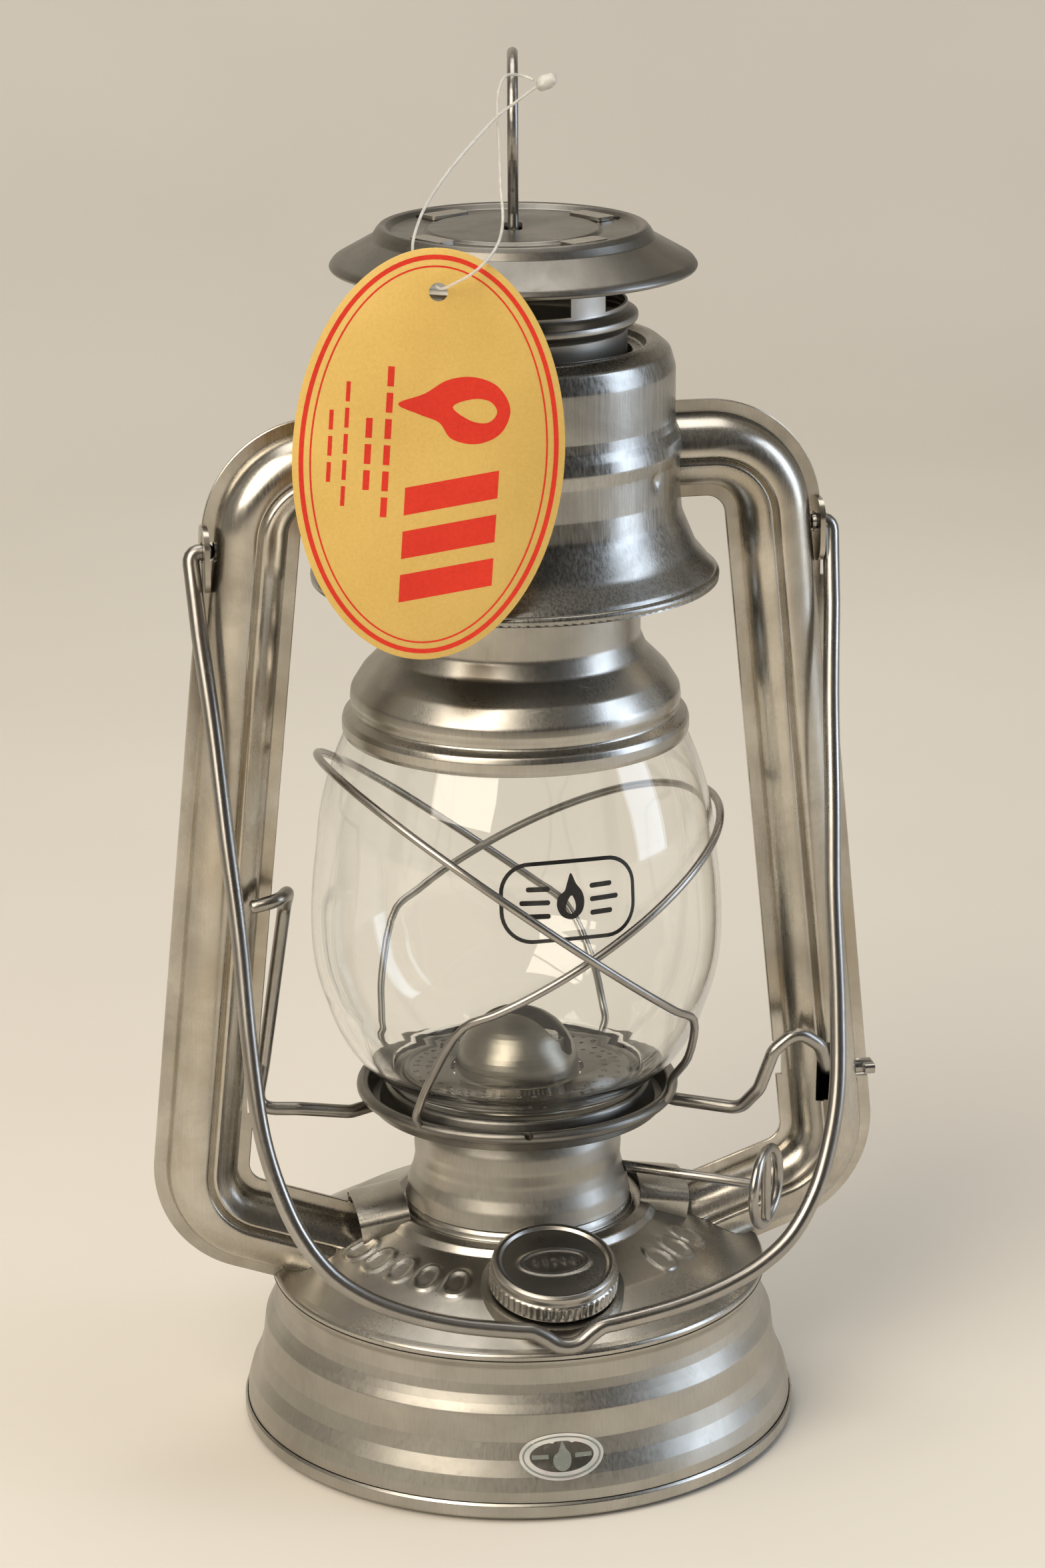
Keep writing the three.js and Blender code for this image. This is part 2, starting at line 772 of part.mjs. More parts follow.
// ---------------------------------------------------------------- side tubes
/** Half the thickness of a side tube at a distance in from its outer edge. */
function tubeHalfThickness(inward) {
  const seam = 0.5;
  const lobes = TUBE_WIDTH - 2 * TUBE_SEAM;
  const share = (inward - TUBE_SEAM) / lobes;
  if (share <= 0 || share >= 1) return seam;
  const crease = 0.56;
  const lobe = share < crease ? TUBE_LOBE_OUTER : TUBE_LOBE_INNER;
  const round = Math.sqrt(Math.max(0, 1 - Math.abs(2 * share - 1) ** 2.6));
  return seam + (lobe - seam) * round;
}

function tubeSection(thinner = 0) {
  const places = [0, 2.25, 2.8, 4.6, 7.6, 9.5, 9.9, 12.6, 14.7, 15.35, TUBE_WIDTH];
  const used = thinner ? places.slice(2, -2) : places;
  const side = used.map((place) =>
    flat(place - TUBE_WIDTH / 2, Math.max(tubeHalfThickness(place) - thinner, 0.3)),
  );
  return [...side, ...side.map((point) => flat(point.x, -point.y)).reverse()];
}

/** Centreline of a side tube: out of the bell, down, and back in to the dome. */
function tubeLine(side, inner) {
  const corners = [
    at(inner.start, 0, TUBE_TOP),
    at(46.1, 0, TUBE_TOP),
    at(59.9, 0, 43.2),
    at(inner.end.x, 0, inner.end.z),
  ];
  const stations = [corners[0]];
  for (const i of [1, 2]) {
    const back = corners[i - 1].clone().sub(corners[i]).normalize();
    const ahead = corners[i + 1].clone().sub(corners[i]).normalize();
    const half = back.angleTo(ahead) / 2;
    const centre = corners[i]
      .clone()
      .addScaledVector(back.clone().add(ahead).normalize(), TUBE_BEND / Math.sin(half));
    const start = corners[i].clone().addScaledVector(back, TUBE_BEND / Math.tan(half));
    const spoke = start.sub(centre);
    const sweepAngle = PI - 2 * half;
    const arcSteps = 6;
    for (let step = 0; step <= arcSteps; step++) {
      const turned = spoke.clone().applyAxisAngle(at(0, 1, 0), (sweepAngle * step) / arcSteps);
      stations.push(centre.clone().add(turned));
    }
  }
  stations.push(corners[3]);
  return stations.map((point) => at(side * point.x, 0, point.z));
}

function sideTube(side) {
  const outerEnds = { start: 26, end: { x: 38, z: 35.4 } };
  const innerEnds = { start: 20, end: { x: 33, z: 33.6 } };
  const sorted = (a, b) => (a < b ? [a, b] : [b, a]);
  const slab = (x0, x1, y, z) => box(sorted(side * x0, side * x1), y, z);
  const shell = cut(
    sweep(tubeSection(), tubeLine(side, outerEnds)),
    sweep(tubeSection(SHEET), tubeLine(side, innerEnds)),
    turnedBlock([[40, BELL_RIM_HEIGHT], ...BELL_LINE.slice(3)], GAP),
    turnedBlock([[45.9, 20], ...DOME_LINE], GAP),
    slab(56, 62, [-6, 6], [157.5, 176.5]),
  );
  const ear = slab(55, 56, [-4.5, 4.5], [160.5, 174.5]);
  const pinHole = cylinder(BAIL_WIRE + 0.4, 53.2, 59.2, 12)
    .rotateY((side * PI) / 2)
    .translate(0, 0, BAIL_PIVOT);
  const leverNotch = slab(46, 50.6, [-3, 3], [60.1, 68]);
  const leverSlot = slab(55.2, 59.8, [-9, 0], [57.4, 69.6]);
  const leverExit = slab(57.5, 70, [-3.6, 2], [59.7, 63.5]);
  const openings = side > 0 ? [leverNotch, leverSlot, leverExit] : [leverNotch];
  return cut(join(shell, ear), pinHole, ...openings);
}

function bell() {
  const airPorts = [1, -1].map((side) =>
    sweep(tubeSection(SHEET), tubeLine(side, { start: 24, end: { x: 40, z: 36.1 } })),
  );
  return cut(turnedSheet(BELL_LINE), ...airPorts);
}

/** A raised tunnel on the dome that leads air from a side tube to the burner collar. */
function airDuct(side) {
  const length = { inner: COLLAR_RADIUS + 1.1, outer: 34.2 };
  const arch = (halfWidth, height) => {
    const shape = new THREE.Shape();
    shape.moveTo(-halfWidth, -12);
    shape.lineTo(-halfWidth, 0);
    shape.bezierCurveTo(-halfWidth, height, halfWidth, height, halfWidth, 0);
    shape.lineTo(halfWidth, -12);
    return shape;
  };
  const tunnel = (shape, overrun) =>
    new THREE.ExtrudeGeometry(shape, {
      depth: length.outer - length.inner + 2 * overrun,
      bevelEnabled: false,
      curveSegments: 8,
    })
      .rotateX(PI / 2)
      .rotateZ(PI / 2)
      .translate(-overrun, 0, 0)
      .rotateY(radians(9))
      .translate(length.inner, 0, 41.4);
  const roof = cut(
    tunnel(arch(8.2, 4.8), 0),
    tunnel(arch(8.2 - SHEET, 4.8 - SHEET), 2),
    turnedBlock([[45.9, 20], ...DOME_LINE], GAP),
  );
  return side > 0 ? roof : roof.rotateZ(PI);
}

add("bell", bell(), MATERIAL.brightTin);
add("chimney_spring", chimneySpring(), MATERIAL.wire);
for (const [name, side] of [
  ["left", -1],
  ["right", 1],
]) {
  add(`side_tube_${name}`, sideTube(side), MATERIAL.tinplate);
  add(`air_duct_${name}`, airDuct(side), MATERIAL.tinplate);
}

// ---------------------------------------------------------------- bail handle
function bailHandle() {
  const reach = 58.1;
  // half of the hoop: (distance from the middle, distance down from the pivots)
  const half = [
    [57.3, 15],
    [56, 31],
    [54.9, 51],
    [53.8, 68],
    [53.2, 88],
    [52, 103],
    [49.6, 113],
    [46.4, 121],
    [41.6, 128],
    [36, 132.4],
    [29, 135.8],
    [20, 138.6],
    [9, 140.6],
    [5, 141.6],
  ];
  const dip = [0, 144];
  const left = half.map(([x, down]) => at(-x, 0, -down));
  const right = half.map(([x, down]) => at(x, 0, -down)).reverse();
  const hoop = smooth([...left, at(dip[0], 0, -dip[1]), ...right], 44);
  const hook = (side) => bent([at(side * 53.9, 0, 0), at(side * reach, 0, 0), at(side * 57.4, 0, -13)], 3);
  const route = [...hook(-1), ...hoop, ...hook(1).reverse()];
  return wire(route, BAIL_WIRE, 6)
    .rotateX(radians(-BAIL_REST_ANGLE))
    .translate(0, 0, BAIL_PIVOT);
}

add("bail_handle", bailHandle(), MATERIAL.wire);

// ---------------------------------------------------------------- globe lift lever
function liftLever() {
  const hoopHalfAngle = 66; // degrees each side of straight back
  const hoop = Array.from({ length: 9 }, (_, i) => {
    const angle = radians(THREE.MathUtils.lerp(90 + hoopHalfAngle, 90 - hoopHalfAngle, i / 8));
    return at(HOOP_RADIUS * Math.cos(angle), HOOP_RADIUS * Math.sin(angle), HOOP_HEIGHT);
  });
  const handle = [
    at(-50, -7.6, 103.6),
    at(-44.6, -7.2, 104.6),
    at(-42.3, -2, 104.4),
    at(-42.4, 2.4, 100),
    at(-46.9, 2.4, 70),
    at(-48.8, 0.6, 62),
  ];
  const leftRun = [at(-41, 0, LEVER_PIVOT), at(-31, 2, 59.4)];
  const rightRun = [at(30, 0, 57.8), at(41, -6, 57.4)];
  const arch = [
    at(44, -8.4, 62),
    at(46.6, -8.7, 69.4),
    at(51, -8.8, 73),
    at(55.6, -8.4, 69.6),
    at(57.6, -5.4, 64),
    at(60.5, -1, LEVER_PIVOT),
    at(63, 0, LEVER_PIVOT),
    at(68.2, 0, LEVER_PIVOT),
  ];
  const route = [...handle, ...leftRun, ...hoop, ...rightRun, ...arch];
  return wire(bent(route, 4, 2), LEVER_WIRE, 6);
}

add("lift_lever", liftLever(), MATERIAL.wire);

// ---------------------------------------------------------------- hang tag and its string
function hangTag() {
  const { width, height, thickness, hole, holeHeight } = TAG_SIZE;
  const shape = new THREE.Shape();
  shape.absellipse(0, 0, width / 2, height / 2, 0, 2 * PI);
  const eye = new THREE.Path();
  eye.absellipse(0, holeHeight, hole, hole, 0, 2 * PI, true);
  shape.holes.push(eye);
  return new THREE.ExtrudeGeometry(shape, {
    depth: thickness,
    bevelEnabled: false,
    curveSegments: 16,
  })
    .rotateZ(radians(TAG_LEAN))
    .rotateX(PI / 2)
    .translate(0, thickness / 2, 0)
    .rotateZ(radians(TAG_TURN))
    .translate(TAG_CENTRE.x, TAG_CENTRE.y, TAG_CENTRE.z);
}

// The string leaves its clasp, passes the lift ring's near side, goes down behind the tag, comes
// forward through the tag's hole and climbs back to the clasp.
const STRING_ROUTE = [
  at(1.4, -13.6, 249),
  at(-1.6, -13.9, 247),
  at(-4.6, -14.2, 245),
  at(-9.9, -17.5, 241),
  at(-17.2, -25, 235.3),
  at(-21.8, -30.6, 230.2),
  at(-23.4, -33, 225.3),
  at(-21.6, -33.5, 221.4),
  at(-19.9, -34, 219.8),
  at(-19.4, -35.4, 219.4),
  at(-18.9, -37, 219.7),
  at(-17.4, -38.8, 220.8),
  at(-14.6, -39.4, 222.4),
  at(-11.8, -37.6, 224.2),
  at(-9.2, -34, 226.2),
  at(-7.2, -28, 229),
  at(-6.2, -21, 233.5),
  at(-5.4, -15.6, 239),
  at(-5.2, -13.4, 244),
  at(-4.6, -11.4, 248.4),
  at(-2.9, -9.8, 250.6),
  at(0, -9.4, 250.4),
  at(1.6, -10.6, 249.8),
];

function tagClasp() {
  return new THREE.SphereGeometry(1.6, 8, 6).scale(1.3, 1, 1).translate(3.4, -12.2, 249.6);
}

add("hang_tag", hangTag(), MATERIAL.card);
add("tag_string", wire(smooth(STRING_ROUTE, 56), STRING_WIRE, 8), MATERIAL.clear);
add("tag_clasp", tagClasp(), MATERIAL.clear);

export default lantern;
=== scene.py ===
"""Barn lantern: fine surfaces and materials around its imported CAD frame, on a pale sweep."""
import json
from math import atan2, ceil, cos, degrees, exp, hypot, pi, radians, sin, sqrt, tan

import bmesh
import bpy
from mathutils import Matrix, Vector
from mathutils.geometry import delaunay_2d_cdt


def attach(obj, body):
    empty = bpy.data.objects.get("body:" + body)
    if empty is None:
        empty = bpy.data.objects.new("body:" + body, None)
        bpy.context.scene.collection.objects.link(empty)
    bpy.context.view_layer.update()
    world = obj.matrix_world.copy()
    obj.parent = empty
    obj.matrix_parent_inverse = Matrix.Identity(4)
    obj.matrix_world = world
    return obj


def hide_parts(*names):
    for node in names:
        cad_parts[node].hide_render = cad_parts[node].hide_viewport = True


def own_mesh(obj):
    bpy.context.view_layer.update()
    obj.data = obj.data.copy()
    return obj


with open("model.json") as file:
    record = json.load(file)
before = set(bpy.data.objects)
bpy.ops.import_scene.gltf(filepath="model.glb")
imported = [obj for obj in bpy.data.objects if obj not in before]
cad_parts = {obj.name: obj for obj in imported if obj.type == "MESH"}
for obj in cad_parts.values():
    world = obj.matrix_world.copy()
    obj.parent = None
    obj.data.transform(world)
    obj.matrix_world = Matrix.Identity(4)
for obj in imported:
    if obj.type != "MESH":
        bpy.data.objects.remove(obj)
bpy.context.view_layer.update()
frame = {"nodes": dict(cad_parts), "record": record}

MM = 0.001  # shapes are written in millimetres, in the CAD frame
SHEET = 0.45  # shown thickness of the tinplate
CLEARANCE = 0.05  # left between a sheet and a piece soldered to it
CORNER = 0.8  # usual radius of a pressed corner
ON_AXIS = 1e-6  # a smaller radius lies on the axis
CLOSEST = 0.004  # outline points nearer than this to the last are dropped

BODY_OF = {
    node: body
    for body, nodes in frame["record"]["behaviour"]["bodies"].items()
    for node in nodes
}


def spin(angle, axis="Z"):
    """A turn about an axis, in degrees."""
    return Matrix.Rotation(radians(angle), 4, axis)


def offset(x, y, z):
    return Matrix.Translation((x, y, z))


# ---------------- camera and studio
def add_camera():
    """The photograph's view: a long lens, a little above the lantern and a little to its left."""
    data = bpy.data.cameras.new("Camera")
    data.sensor_width, data.lens = 36, 99.55  # millimetres
    data.clip_start = 0.01
    camera = bpy.data.objects.new("Camera", data)
    heading, pitch, roll = radians(11.093), radians(17.258), radians(-0.246)
    turn = Matrix.Rotation(-heading, 4, "Z") @ Matrix.Rotation(pi / 2 - pitch, 4, "X")
    place = offset(-0.14309, -0.73612, 0.35426)  # metres
    camera.matrix_world = place @ turn @ Matrix.Rotation(roll, 4, "Z")
    bpy.context.scene.collection.objects.link(camera)
    bpy.context.scene.camera = camera


def add_light(name, place, target, size, power, colour):
    data = bpy.data.lights.new(name, "AREA")
    data.shape = "RECTANGLE"
    data.size, data.size_y = size
    data.energy = power
    data.color = colour
    light = bpy.data.objects.new(name, data)
    light.location = place
    aim = Vector(target) - Vector(place)
    light.rotation_euler = aim.to_track_quat("-Z", "Y").to_euler()
    bpy.context.scene.collection.objects.link(light)


def add_world():
    """A dim room: pale near the horizon and above, dark behind the camera."""
    world = bpy.data.worlds.new("Room")
    bpy.context.scene.world = world
    world.use_nodes = True
    tree = world.node_tree
    coords, axes, ramp, span = (
        tree.nodes.new("ShaderNode" + kind)
        for kind in ("TexCoord", "SeparateXYZ", "ValToRGB", "MapRange")
    )
    span.inputs["From Min"].default_value = -1.0
    span.inputs["From Max"].default_value = 0.6
    tree.links.new(coords.outputs["Generated"], axes.inputs[0])
    tree.links.new(axes.outputs["Y"], span.inputs["Value"])
    tree.links.new(span.outputs[0], ramp.inputs["Fac"])
    ramp.color_ramp.elements[0].color = (0.035, 0.032, 0.03, 1)
    ramp.color_ramp.elements[1].color = (0.62, 0.57, 0.48, 1)
    background = tree.nodes["Background"]
    tree.links.new(ramp.outputs["Color"], background.inputs["Color"])
    background.inputs["Strength"].default_value = 0.55


add_camera()

# ---------------- lines and outlines
def turned_corner(before, corner, after, radius, steps):
    """Points that ease one corner of a line to about the given radius."""
    back, ahead = before - corner, after - corner
    opening = back.angle(ahead, pi)
    if opening > pi - 0.02:
        return [corner]
    wanted = radius / tan(opening / 2)
    reach = min(wanted, 0.48 * back.length, 0.48 * ahead.length)
    start = corner + back.normalized() * reach
    end = corner + ahead.normalized() * reach
    shares = [i / steps for i in range(steps + 1)]
    return [start * (1 - t) ** 2 + corner * 2 * t * (1 - t) + end * t**2 for t in shares]


def eased(points, radius, steps=5):
    """A line of straight runs with its corners rounded. A point may carry its own radius last."""
    size = min(len(p) for p in points)
    spots = [Vector(p[:size]) for p in points]
    own = [p[size] if len(p) > size else radius for p in points]
    line = [spots[0]]
    for i in range(1, len(spots) - 1):
        line += turned_corner(spots[i - 1], spots[i], spots[i + 1], own[i], steps)
    return line + [spots[-1]]


def flowing(points, per):
    """A smooth line through every point, as a centripetal Catmull-Rom spline."""
    spots = [Vector(p) for p in points]
    spots = [2 * spots[0] - spots[1]] + spots + [2 * spots[-1] - spots[-2]]
    line = []
    for a, b, c, d in zip(spots, spots[1:], spots[2:], spots[3:]):
        t0 = 0.0
        t1 = t0 + sqrt((b - a).length)
        t2 = t1 + sqrt((c - b).length)
        t3 = t2 + sqrt((d - c).length)
        for i in range(per):
            t = t1 + (t2 - t1) * i / per
            ab = (a * (t1 - t) + b * (t - t0)) / (t1 - t0)
            bc = (b * (t2 - t) + c * (t - t1)) / (t2 - t1)
            cd = (c * (t3 - t) + d * (t - t2)) / (t3 - t2)
            first = (ab * (t2 - t) + bc * (t - t0)) / (t2 - t0)
            second = (bc * (t3 - t) + cd * (t - t1)) / (t3 - t1)
            line.append((first * (t2 - t) + second * (t - t1)) / (t2 - t1))
    return line + [spots[-2]]


def shifted(line, distance):
    """An open 2-D line moved to its right by a distance."""
    normals = [Vector((b.y - a.y, a.x - b.x)).normalized() for a, b in zip(line, line[1:])]
    moved = []
    for i, point in enumerate(line):
        before, after = normals[max(i - 1, 0)], normals[min(i, len(normals) - 1)]
        middle = (before + after).normalized()
        moved.append(point + middle * distance / max(middle.dot(before), 0.6))
    return moved


def evenly(start, end, count):
    """The ends of count equal steps from start to end."""
    return [start + (end - start) * i / count for i in range(count + 1)]


def round_angles(count):
    return [2 * pi * i / count for i in range(count)]


def sheet_outline(line, wall):
    """The closed outline of a sheet whose outer face runs along the line, outside on its right."""
    inner = [Vector((max(p.x, 0.0), p.y)) for p in shifted(line, -wall)]
    for end in (0, -1):
        if line[end].x < ON_AXIS:
            inner[end].x = 0
    return list(line) + inner[::-1]


def about_z(angle, radius, height):
    return Vector((radius * cos(radians(angle)), radius * sin(radians(angle)), height))


def step(value, low, high):
    """0 below low, 1 above high, smooth between."""
    share = min(max((value - low) / (high - low), 0.0), 1.0)
    return share * share * (3 - 2 * share)


def bump_at(value, middle, width):
    return exp(-(((value - middle) / width) ** 2))


# ---------------- meshes
def new_piece(name, vertices, faces):
    mesh = bpy.data.meshes.new(name)
    mesh.from_pydata([Vector(v) * MM for v in vertices], [], faces)
    piece = bpy.data.objects.new(name, mesh)
    bpy.context.scene.collection.objects.link(piece)
    work = bmesh.new()
    work.from_mesh(mesh)
    bmesh.ops.remove_doubles(work, verts=work.verts, dist=1e-7)
    bmesh.ops.recalc_face_normals(work, faces=work.faces)
    work.to_mesh(mesh)
    work.free()
    return piece


def revolved(name, outline, steps=144, reshape=None):
    """A closed outline of (radius, height) turned about Z. reshape may move each ring's points."""
    vertices, rings = [], []
    line = [Vector(point) for point in outline]
    for before, spot in zip([line[-1], *line], line):
        if (spot - before).length <= CLOSEST:
            continue
        ring = [Vector((0, 0, spot.y))]
        if spot.x >= ON_AXIS:
            ring = [about_z(360 * i / steps, spot.x, spot.y) for i in range(steps)]
        rings.append(range(len(vertices), len(vertices) + len(ring)))
        vertices += [reshape(point) for point in ring] if reshape else ring
    faces = []
    for low, high in zip(rings, list(rings[1:]) + [rings[0]]):
        for i in range(steps):
            j = (i + 1) % steps
            pairs = ((low, i), (low, j), (high, j), (high, i))
            face = list(dict.fromkeys(ring[k % len(ring)] for ring, k in pairs))
            if len(face) > 2:
                faces.append(face)
    return new_piece(name, vertices, faces)


def lofted(name, rings):
    """A closed body through rings of equal point counts, with flat ends."""
    count = len(rings[0])
    vertices = [spot for ring in rings for spot in ring]
    faces = [list(range(count))[::-1], list(range((len(rings) - 1) * count, len(rings) * count))]
    for k in range(len(rings) - 1):
        for i in range(count):
            j = (i + 1) % count
            faces.append((k * count + i, k * count + j, (k + 1) * count + j, (k + 1) * count + i))
    return new_piece(name, vertices, faces)


def frames_along(route):
    """A tangent and two cross directions at each point of a route, without twist."""
    tangents = [
        (route[min(i + 1, len(route) - 1)] - route[max(i - 1, 0)]).normalized()
        for i in range(len(route))
    ]
    across = tangents[0].orthogonal().normalized()
    frames = []
    for before, tangent in zip([tangents[0]] + tangents, tangents):
        across = before.rotation_difference(tangent) @ across
        across = (across - tangent * across.dot(tangent)).normalized()
        frames.append((tangent, across, tangent.cross(across)))
    return frames


END_ROUNDING = ((0.0, 0.45), (0.35, 0.78), (0.75, 0.96))  # share of the radius: along, across


def wire_rings(route, radius, sides):
    """Rings of a round wire along a route, with softly rounded ends."""
    frames = frames_along(route)
    angles = round_angles(sides)

    def ring(centre, cross, size):
        return [centre + cross[1] * size * cos(a) + cross[2] * size * sin(a) for a in angles]

    start = [
        ring(route[0] + frames[0][0] * along * radius * 0.6, frames[0], radius * share)
        for along, share in END_ROUNDING
    ]
    end = [
        ring(route[-1] - frames[-1][0] * along * radius * 0.6, frames[-1], radius * share)
        for along, share in reversed(END_ROUNDING)
    ]
    body = [ring(spot, cross, radius) for spot, cross in list(zip(route, frames))[1:-1]]
    return start + body + end


def wire(name, route, radius, sides=16):
    return lofted(name, wire_rings([Vector(p) for p in route], radius, sides))


def prism(name, outline, low, high, matrix=None):
    """A flat outline in XY, pulled up in Z from low to high, then placed by a matrix."""
    matrix = matrix or Matrix.Identity(4)
    rings = [[matrix @ Vector((x, y, z)) for x, y in outline] for z in (low, high)]
    return lofted(name, rings)


def rounded_rectangle(width, height, radius, steps=5):
    corners = [(1, 1, 0), (-1, 1, 90), (-1, -1, 180), (1, -1, 270)]
    outline = []
    for sx, sy, turn in corners:
        centre = Vector((sx * (width / 2 - radius), sy * (height / 2 - radius)))
        for i in range(steps + 1):
            angle = radians(turn + 90 * i / steps)
            outline.append(centre + Vector((cos(angle), sin(angle))) * radius)
    return outline


def ellipse(width, height, steps=72):
    return [Vector((width / 2 * cos(a), height / 2 * sin(a))) for a in round_angles(steps)]


def disc_outline(radius, steps=24):
    return ellipse(2 * radius, 2 * radius, steps)


def merged(name, pieces):
    """One object that holds the meshes of several, which go."""
    work = bmesh.new()
    for piece in pieces:
        work.from_mesh(piece.data)
    mesh = bpy.data.meshes.new(name)
    work.to_mesh(mesh)
    work.free()
    for piece in pieces:
        bpy.data.objects.remove(piece)
    made = bpy.data.objects.new(name, mesh)
    bpy.context.scene.collection.objects.link(made)
    return made


def combine(piece, tool, operation):
    """Cuts a tool from a piece or joins it on, and removes the tool."""
    modifier = piece.modifiers.new("combine", "BOOLEAN")
    modifier.operation = operation
    modifier.solver = "MANIFOLD"
    modifier.object = tool
    graph = bpy.context.evaluated_depsgraph_get()
    mesh = bpy.data.meshes.new_from_object(piece.evaluated_get(graph))
    piece.modifiers.clear()
    if not len(mesh.polygons):
        raise RuntimeError(f"{piece.name}: the {operation.lower()} left nothing")
    piece.data = mesh
    bpy.data.objects.remove(tool)
    return piece


def cut(piece, tool):
    return combine(piece, tool, "DIFFERENCE")


def weld(piece, tool):
    return combine(piece, tool, "UNION")


def bored(piece, tools):
    """Cuts several tools from a piece at once."""
    return cut(piece, merged("tools", tools))


def dressed(piece, material, nodes=(), body=None, crisp=38):
    """Shades a piece, gives it its material and body, and hides the CAD nodes it stands for."""
    mesh = piece.data
    mesh.shade_smooth()
    mesh.set_sharp_from_angle(angle=radians(crisp))
    mesh.materials.clear()
    mesh.materials.append(material)
    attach(piece, body or BODY_OF[nodes[0]])
    if nodes:
        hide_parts(*nodes)
    return piece


# ---------------- materials
class Finish:
    """A node material in the making: add() makes a node, links sockets and sets plain values."""

    def __init__(self, name, **sockets):
        self.material = bpy.data.materials.new(name)
        self.material.use_nodes = True
        self.tree = self.material.node_tree
        self.surface = self.tree.nodes["Principled BSDF"]
        self.give(self.surface, sockets)
        coords = self.tree.nodes.new("ShaderNodeTexCoord")
        self.place = coords.outputs["Object"]

    def give(self, node, sockets):
        for key, value in sockets.items():
            socket = node.inputs[key.replace("_", " ") if isinstance(key, str) else key]
            if isinstance(value, bpy.types.NodeSocket):
                self.tree.links.new(value, socket)
            elif socket.type == "RGBA":
                socket.default_value = (*value[:3], 1.0)
            else:
                socket.default_value = value

    def add(self, kind, settings=None, numbered=None, output=0, **sockets):
        """Makes a node. Sockets are given by name, or by number where names repeat."""
        node = self.tree.nodes.new("ShaderNode" + kind)
        for key, value in (settings or {}).items():
            setattr(node, key, value)
        self.give(node, {**(numbered or {}), **sockets})
        return node.outputs[output]

    def noise(self, scale, detail=2.0, stretch=(1, 1, 1), roughness=0.5, distortion=0.0):
        """Noise whose features are about 1/scale metres across."""
        place = self.add("Mapping", Vector=self.place, Scale=stretch)
        return self.add(
            "TexNoise", Vector=place, Scale=scale, Detail=detail, Roughness=roughness,
            Distortion=distortion,
        )

    def wave(self, direction, scale, distortion):
        settings = {"bands_direction": direction}
        return self.add(
            "TexWave", settings, Vector=self.place, Scale=scale, Distortion=distortion
        )

    def spread(self, value, low, high, to_low=0.0, to_high=1.0):
        keys = {"From_Min": low, "From_Max": high, "To_Min": to_low, "To_Max": to_high}
        return self.add("MapRange", Value=value, **keys)

    def maths(self, operation, first, second):
        return self.add("Math", {"operation": operation}, {0: first, 1: second})

    def mixture(self, first, second, share):
        """Two values added, the first weighed by share and the second by what is left."""
        rest = self.maths("MULTIPLY", second, round(1 - share, 2))
        return self.maths("ADD", self.maths("MULTIPLY", first, share), rest)

    def blend(self, share, first, second):
        """A mix of two colours, each a colour or a socket."""
        sockets = {0: share, 6: first, 7: second}
        return self.add("Mix", {"data_type": "RGBA"}, sockets, output=2)

    def bumps(self, height, strength, distance, over=None):
        sockets = {"Height": height, "Strength": strength, "Distance": distance}
        if over:
            sockets["Normal"] = over
        return self.add("Bump", **sockets)

    def done(self, **sockets):
        self.give(self.surface, sockets)
        return self.material


def steel(name, light, dark, roughness, streaks=(1, 1, 0.03), grain=0.5, wear=0.5):
    """Tin-plated steel: drawn streaks, soft stains from hands and flux, fine scratches."""
    finish = Finish(name, Metallic=1.0, Anisotropic=0.3)
    stains = finish.noise(55, 5, roughness=0.62, distortion=0.4)
    clouds = finish.noise(18, 3)
    lines = finish.noise(2600, 3, stretch=streaks, roughness=0.6)
    scratches = finish.noise(900, 2, stretch=(0.15, 1, 0.12), distortion=1.2)
    tone = finish.mixture(stains, clouds, 0.65)
    colour = finish.blend(finish.spread(tone, 0.36, 0.64), dark, light)
    warm = finish.spread(finish.noise(32, 3, distortion=0.8), 0.52, 0.72, 0.0, wear * 0.55)
    colour = finish.blend(warm, colour, (dark[0] * 1.08, dark[1] * 0.97, dark[2] * 0.78))
    dark_lines = finish.spread(lines, 0.35, 0.6, 0.22 * grain, 0.0)
    colour = finish.blend(dark_lines, colour, (dark[0] * 0.6, dark[1] * 0.6, dark[2] * 0.58))
    rough = finish.spread(tone, 0.3, 0.7, roughness + 0.1, roughness - 0.05)
    rough = finish.maths("ADD", rough, finish.spread(lines, 0.3, 0.7, -0.05 * grain, 0.07 * grain))
    rough = finish.maths("ADD", rough, finish.spread(scratches, 0.66, 0.78, 0.0, 0.09))
    normal = finish.bumps(lines, 0.12 * grain, 0.00005)
    normal = finish.bumps(finish.noise(95, 2), 0.13, 0.0005, over=normal)
    return finish.done(Base_Color=colour, Roughness=rough, Normal=normal)


TIN = steel("tinplate", (0.55, 0.53, 0.49), (0.36, 0.345, 0.31), 0.27)
TUBE_TIN = steel("tube_tinplate", (0.61, 0.58, 0.525), (0.38, 0.35, 0.30), 0.25, wear=1.0)
TANK_TIN = steel("tank_tinplate", (0.50, 0.482, 0.44), (0.37, 0.352, 0.315), 0.37, grain=0.7)
DULL_TIN = steel("dull_tinplate", (0.46, 0.44, 0.405), (0.29, 0.275, 0.25), 0.36, wear=0.7)
DARK_TIN = steel("dark_tinplate", (0.29, 0.28, 0.258), (0.165, 0.157, 0.143), 0.31)
CAP_TIN = steel("cap_tinplate", (0.52, 0.50, 0.465), (0.34, 0.325, 0.30), 0.26, grain=0.3)
BELL_TIN = steel("bell_tinplate", (0.50, 0.49, 0.46), (0.27, 0.262, 0.245), 0.24, grain=1.1)
BURNER_TIN = steel("burner_metal", (0.42, 0.395, 0.34), (0.25, 0.232, 0.195), 0.32, grain=0.3)
WIRE_STEEL = steel(
    "wire", (0.47, 0.452, 0.425), (0.29, 0.276, 0.258), 0.27, streaks=(1, 1, 0.2), grain=0.3
)


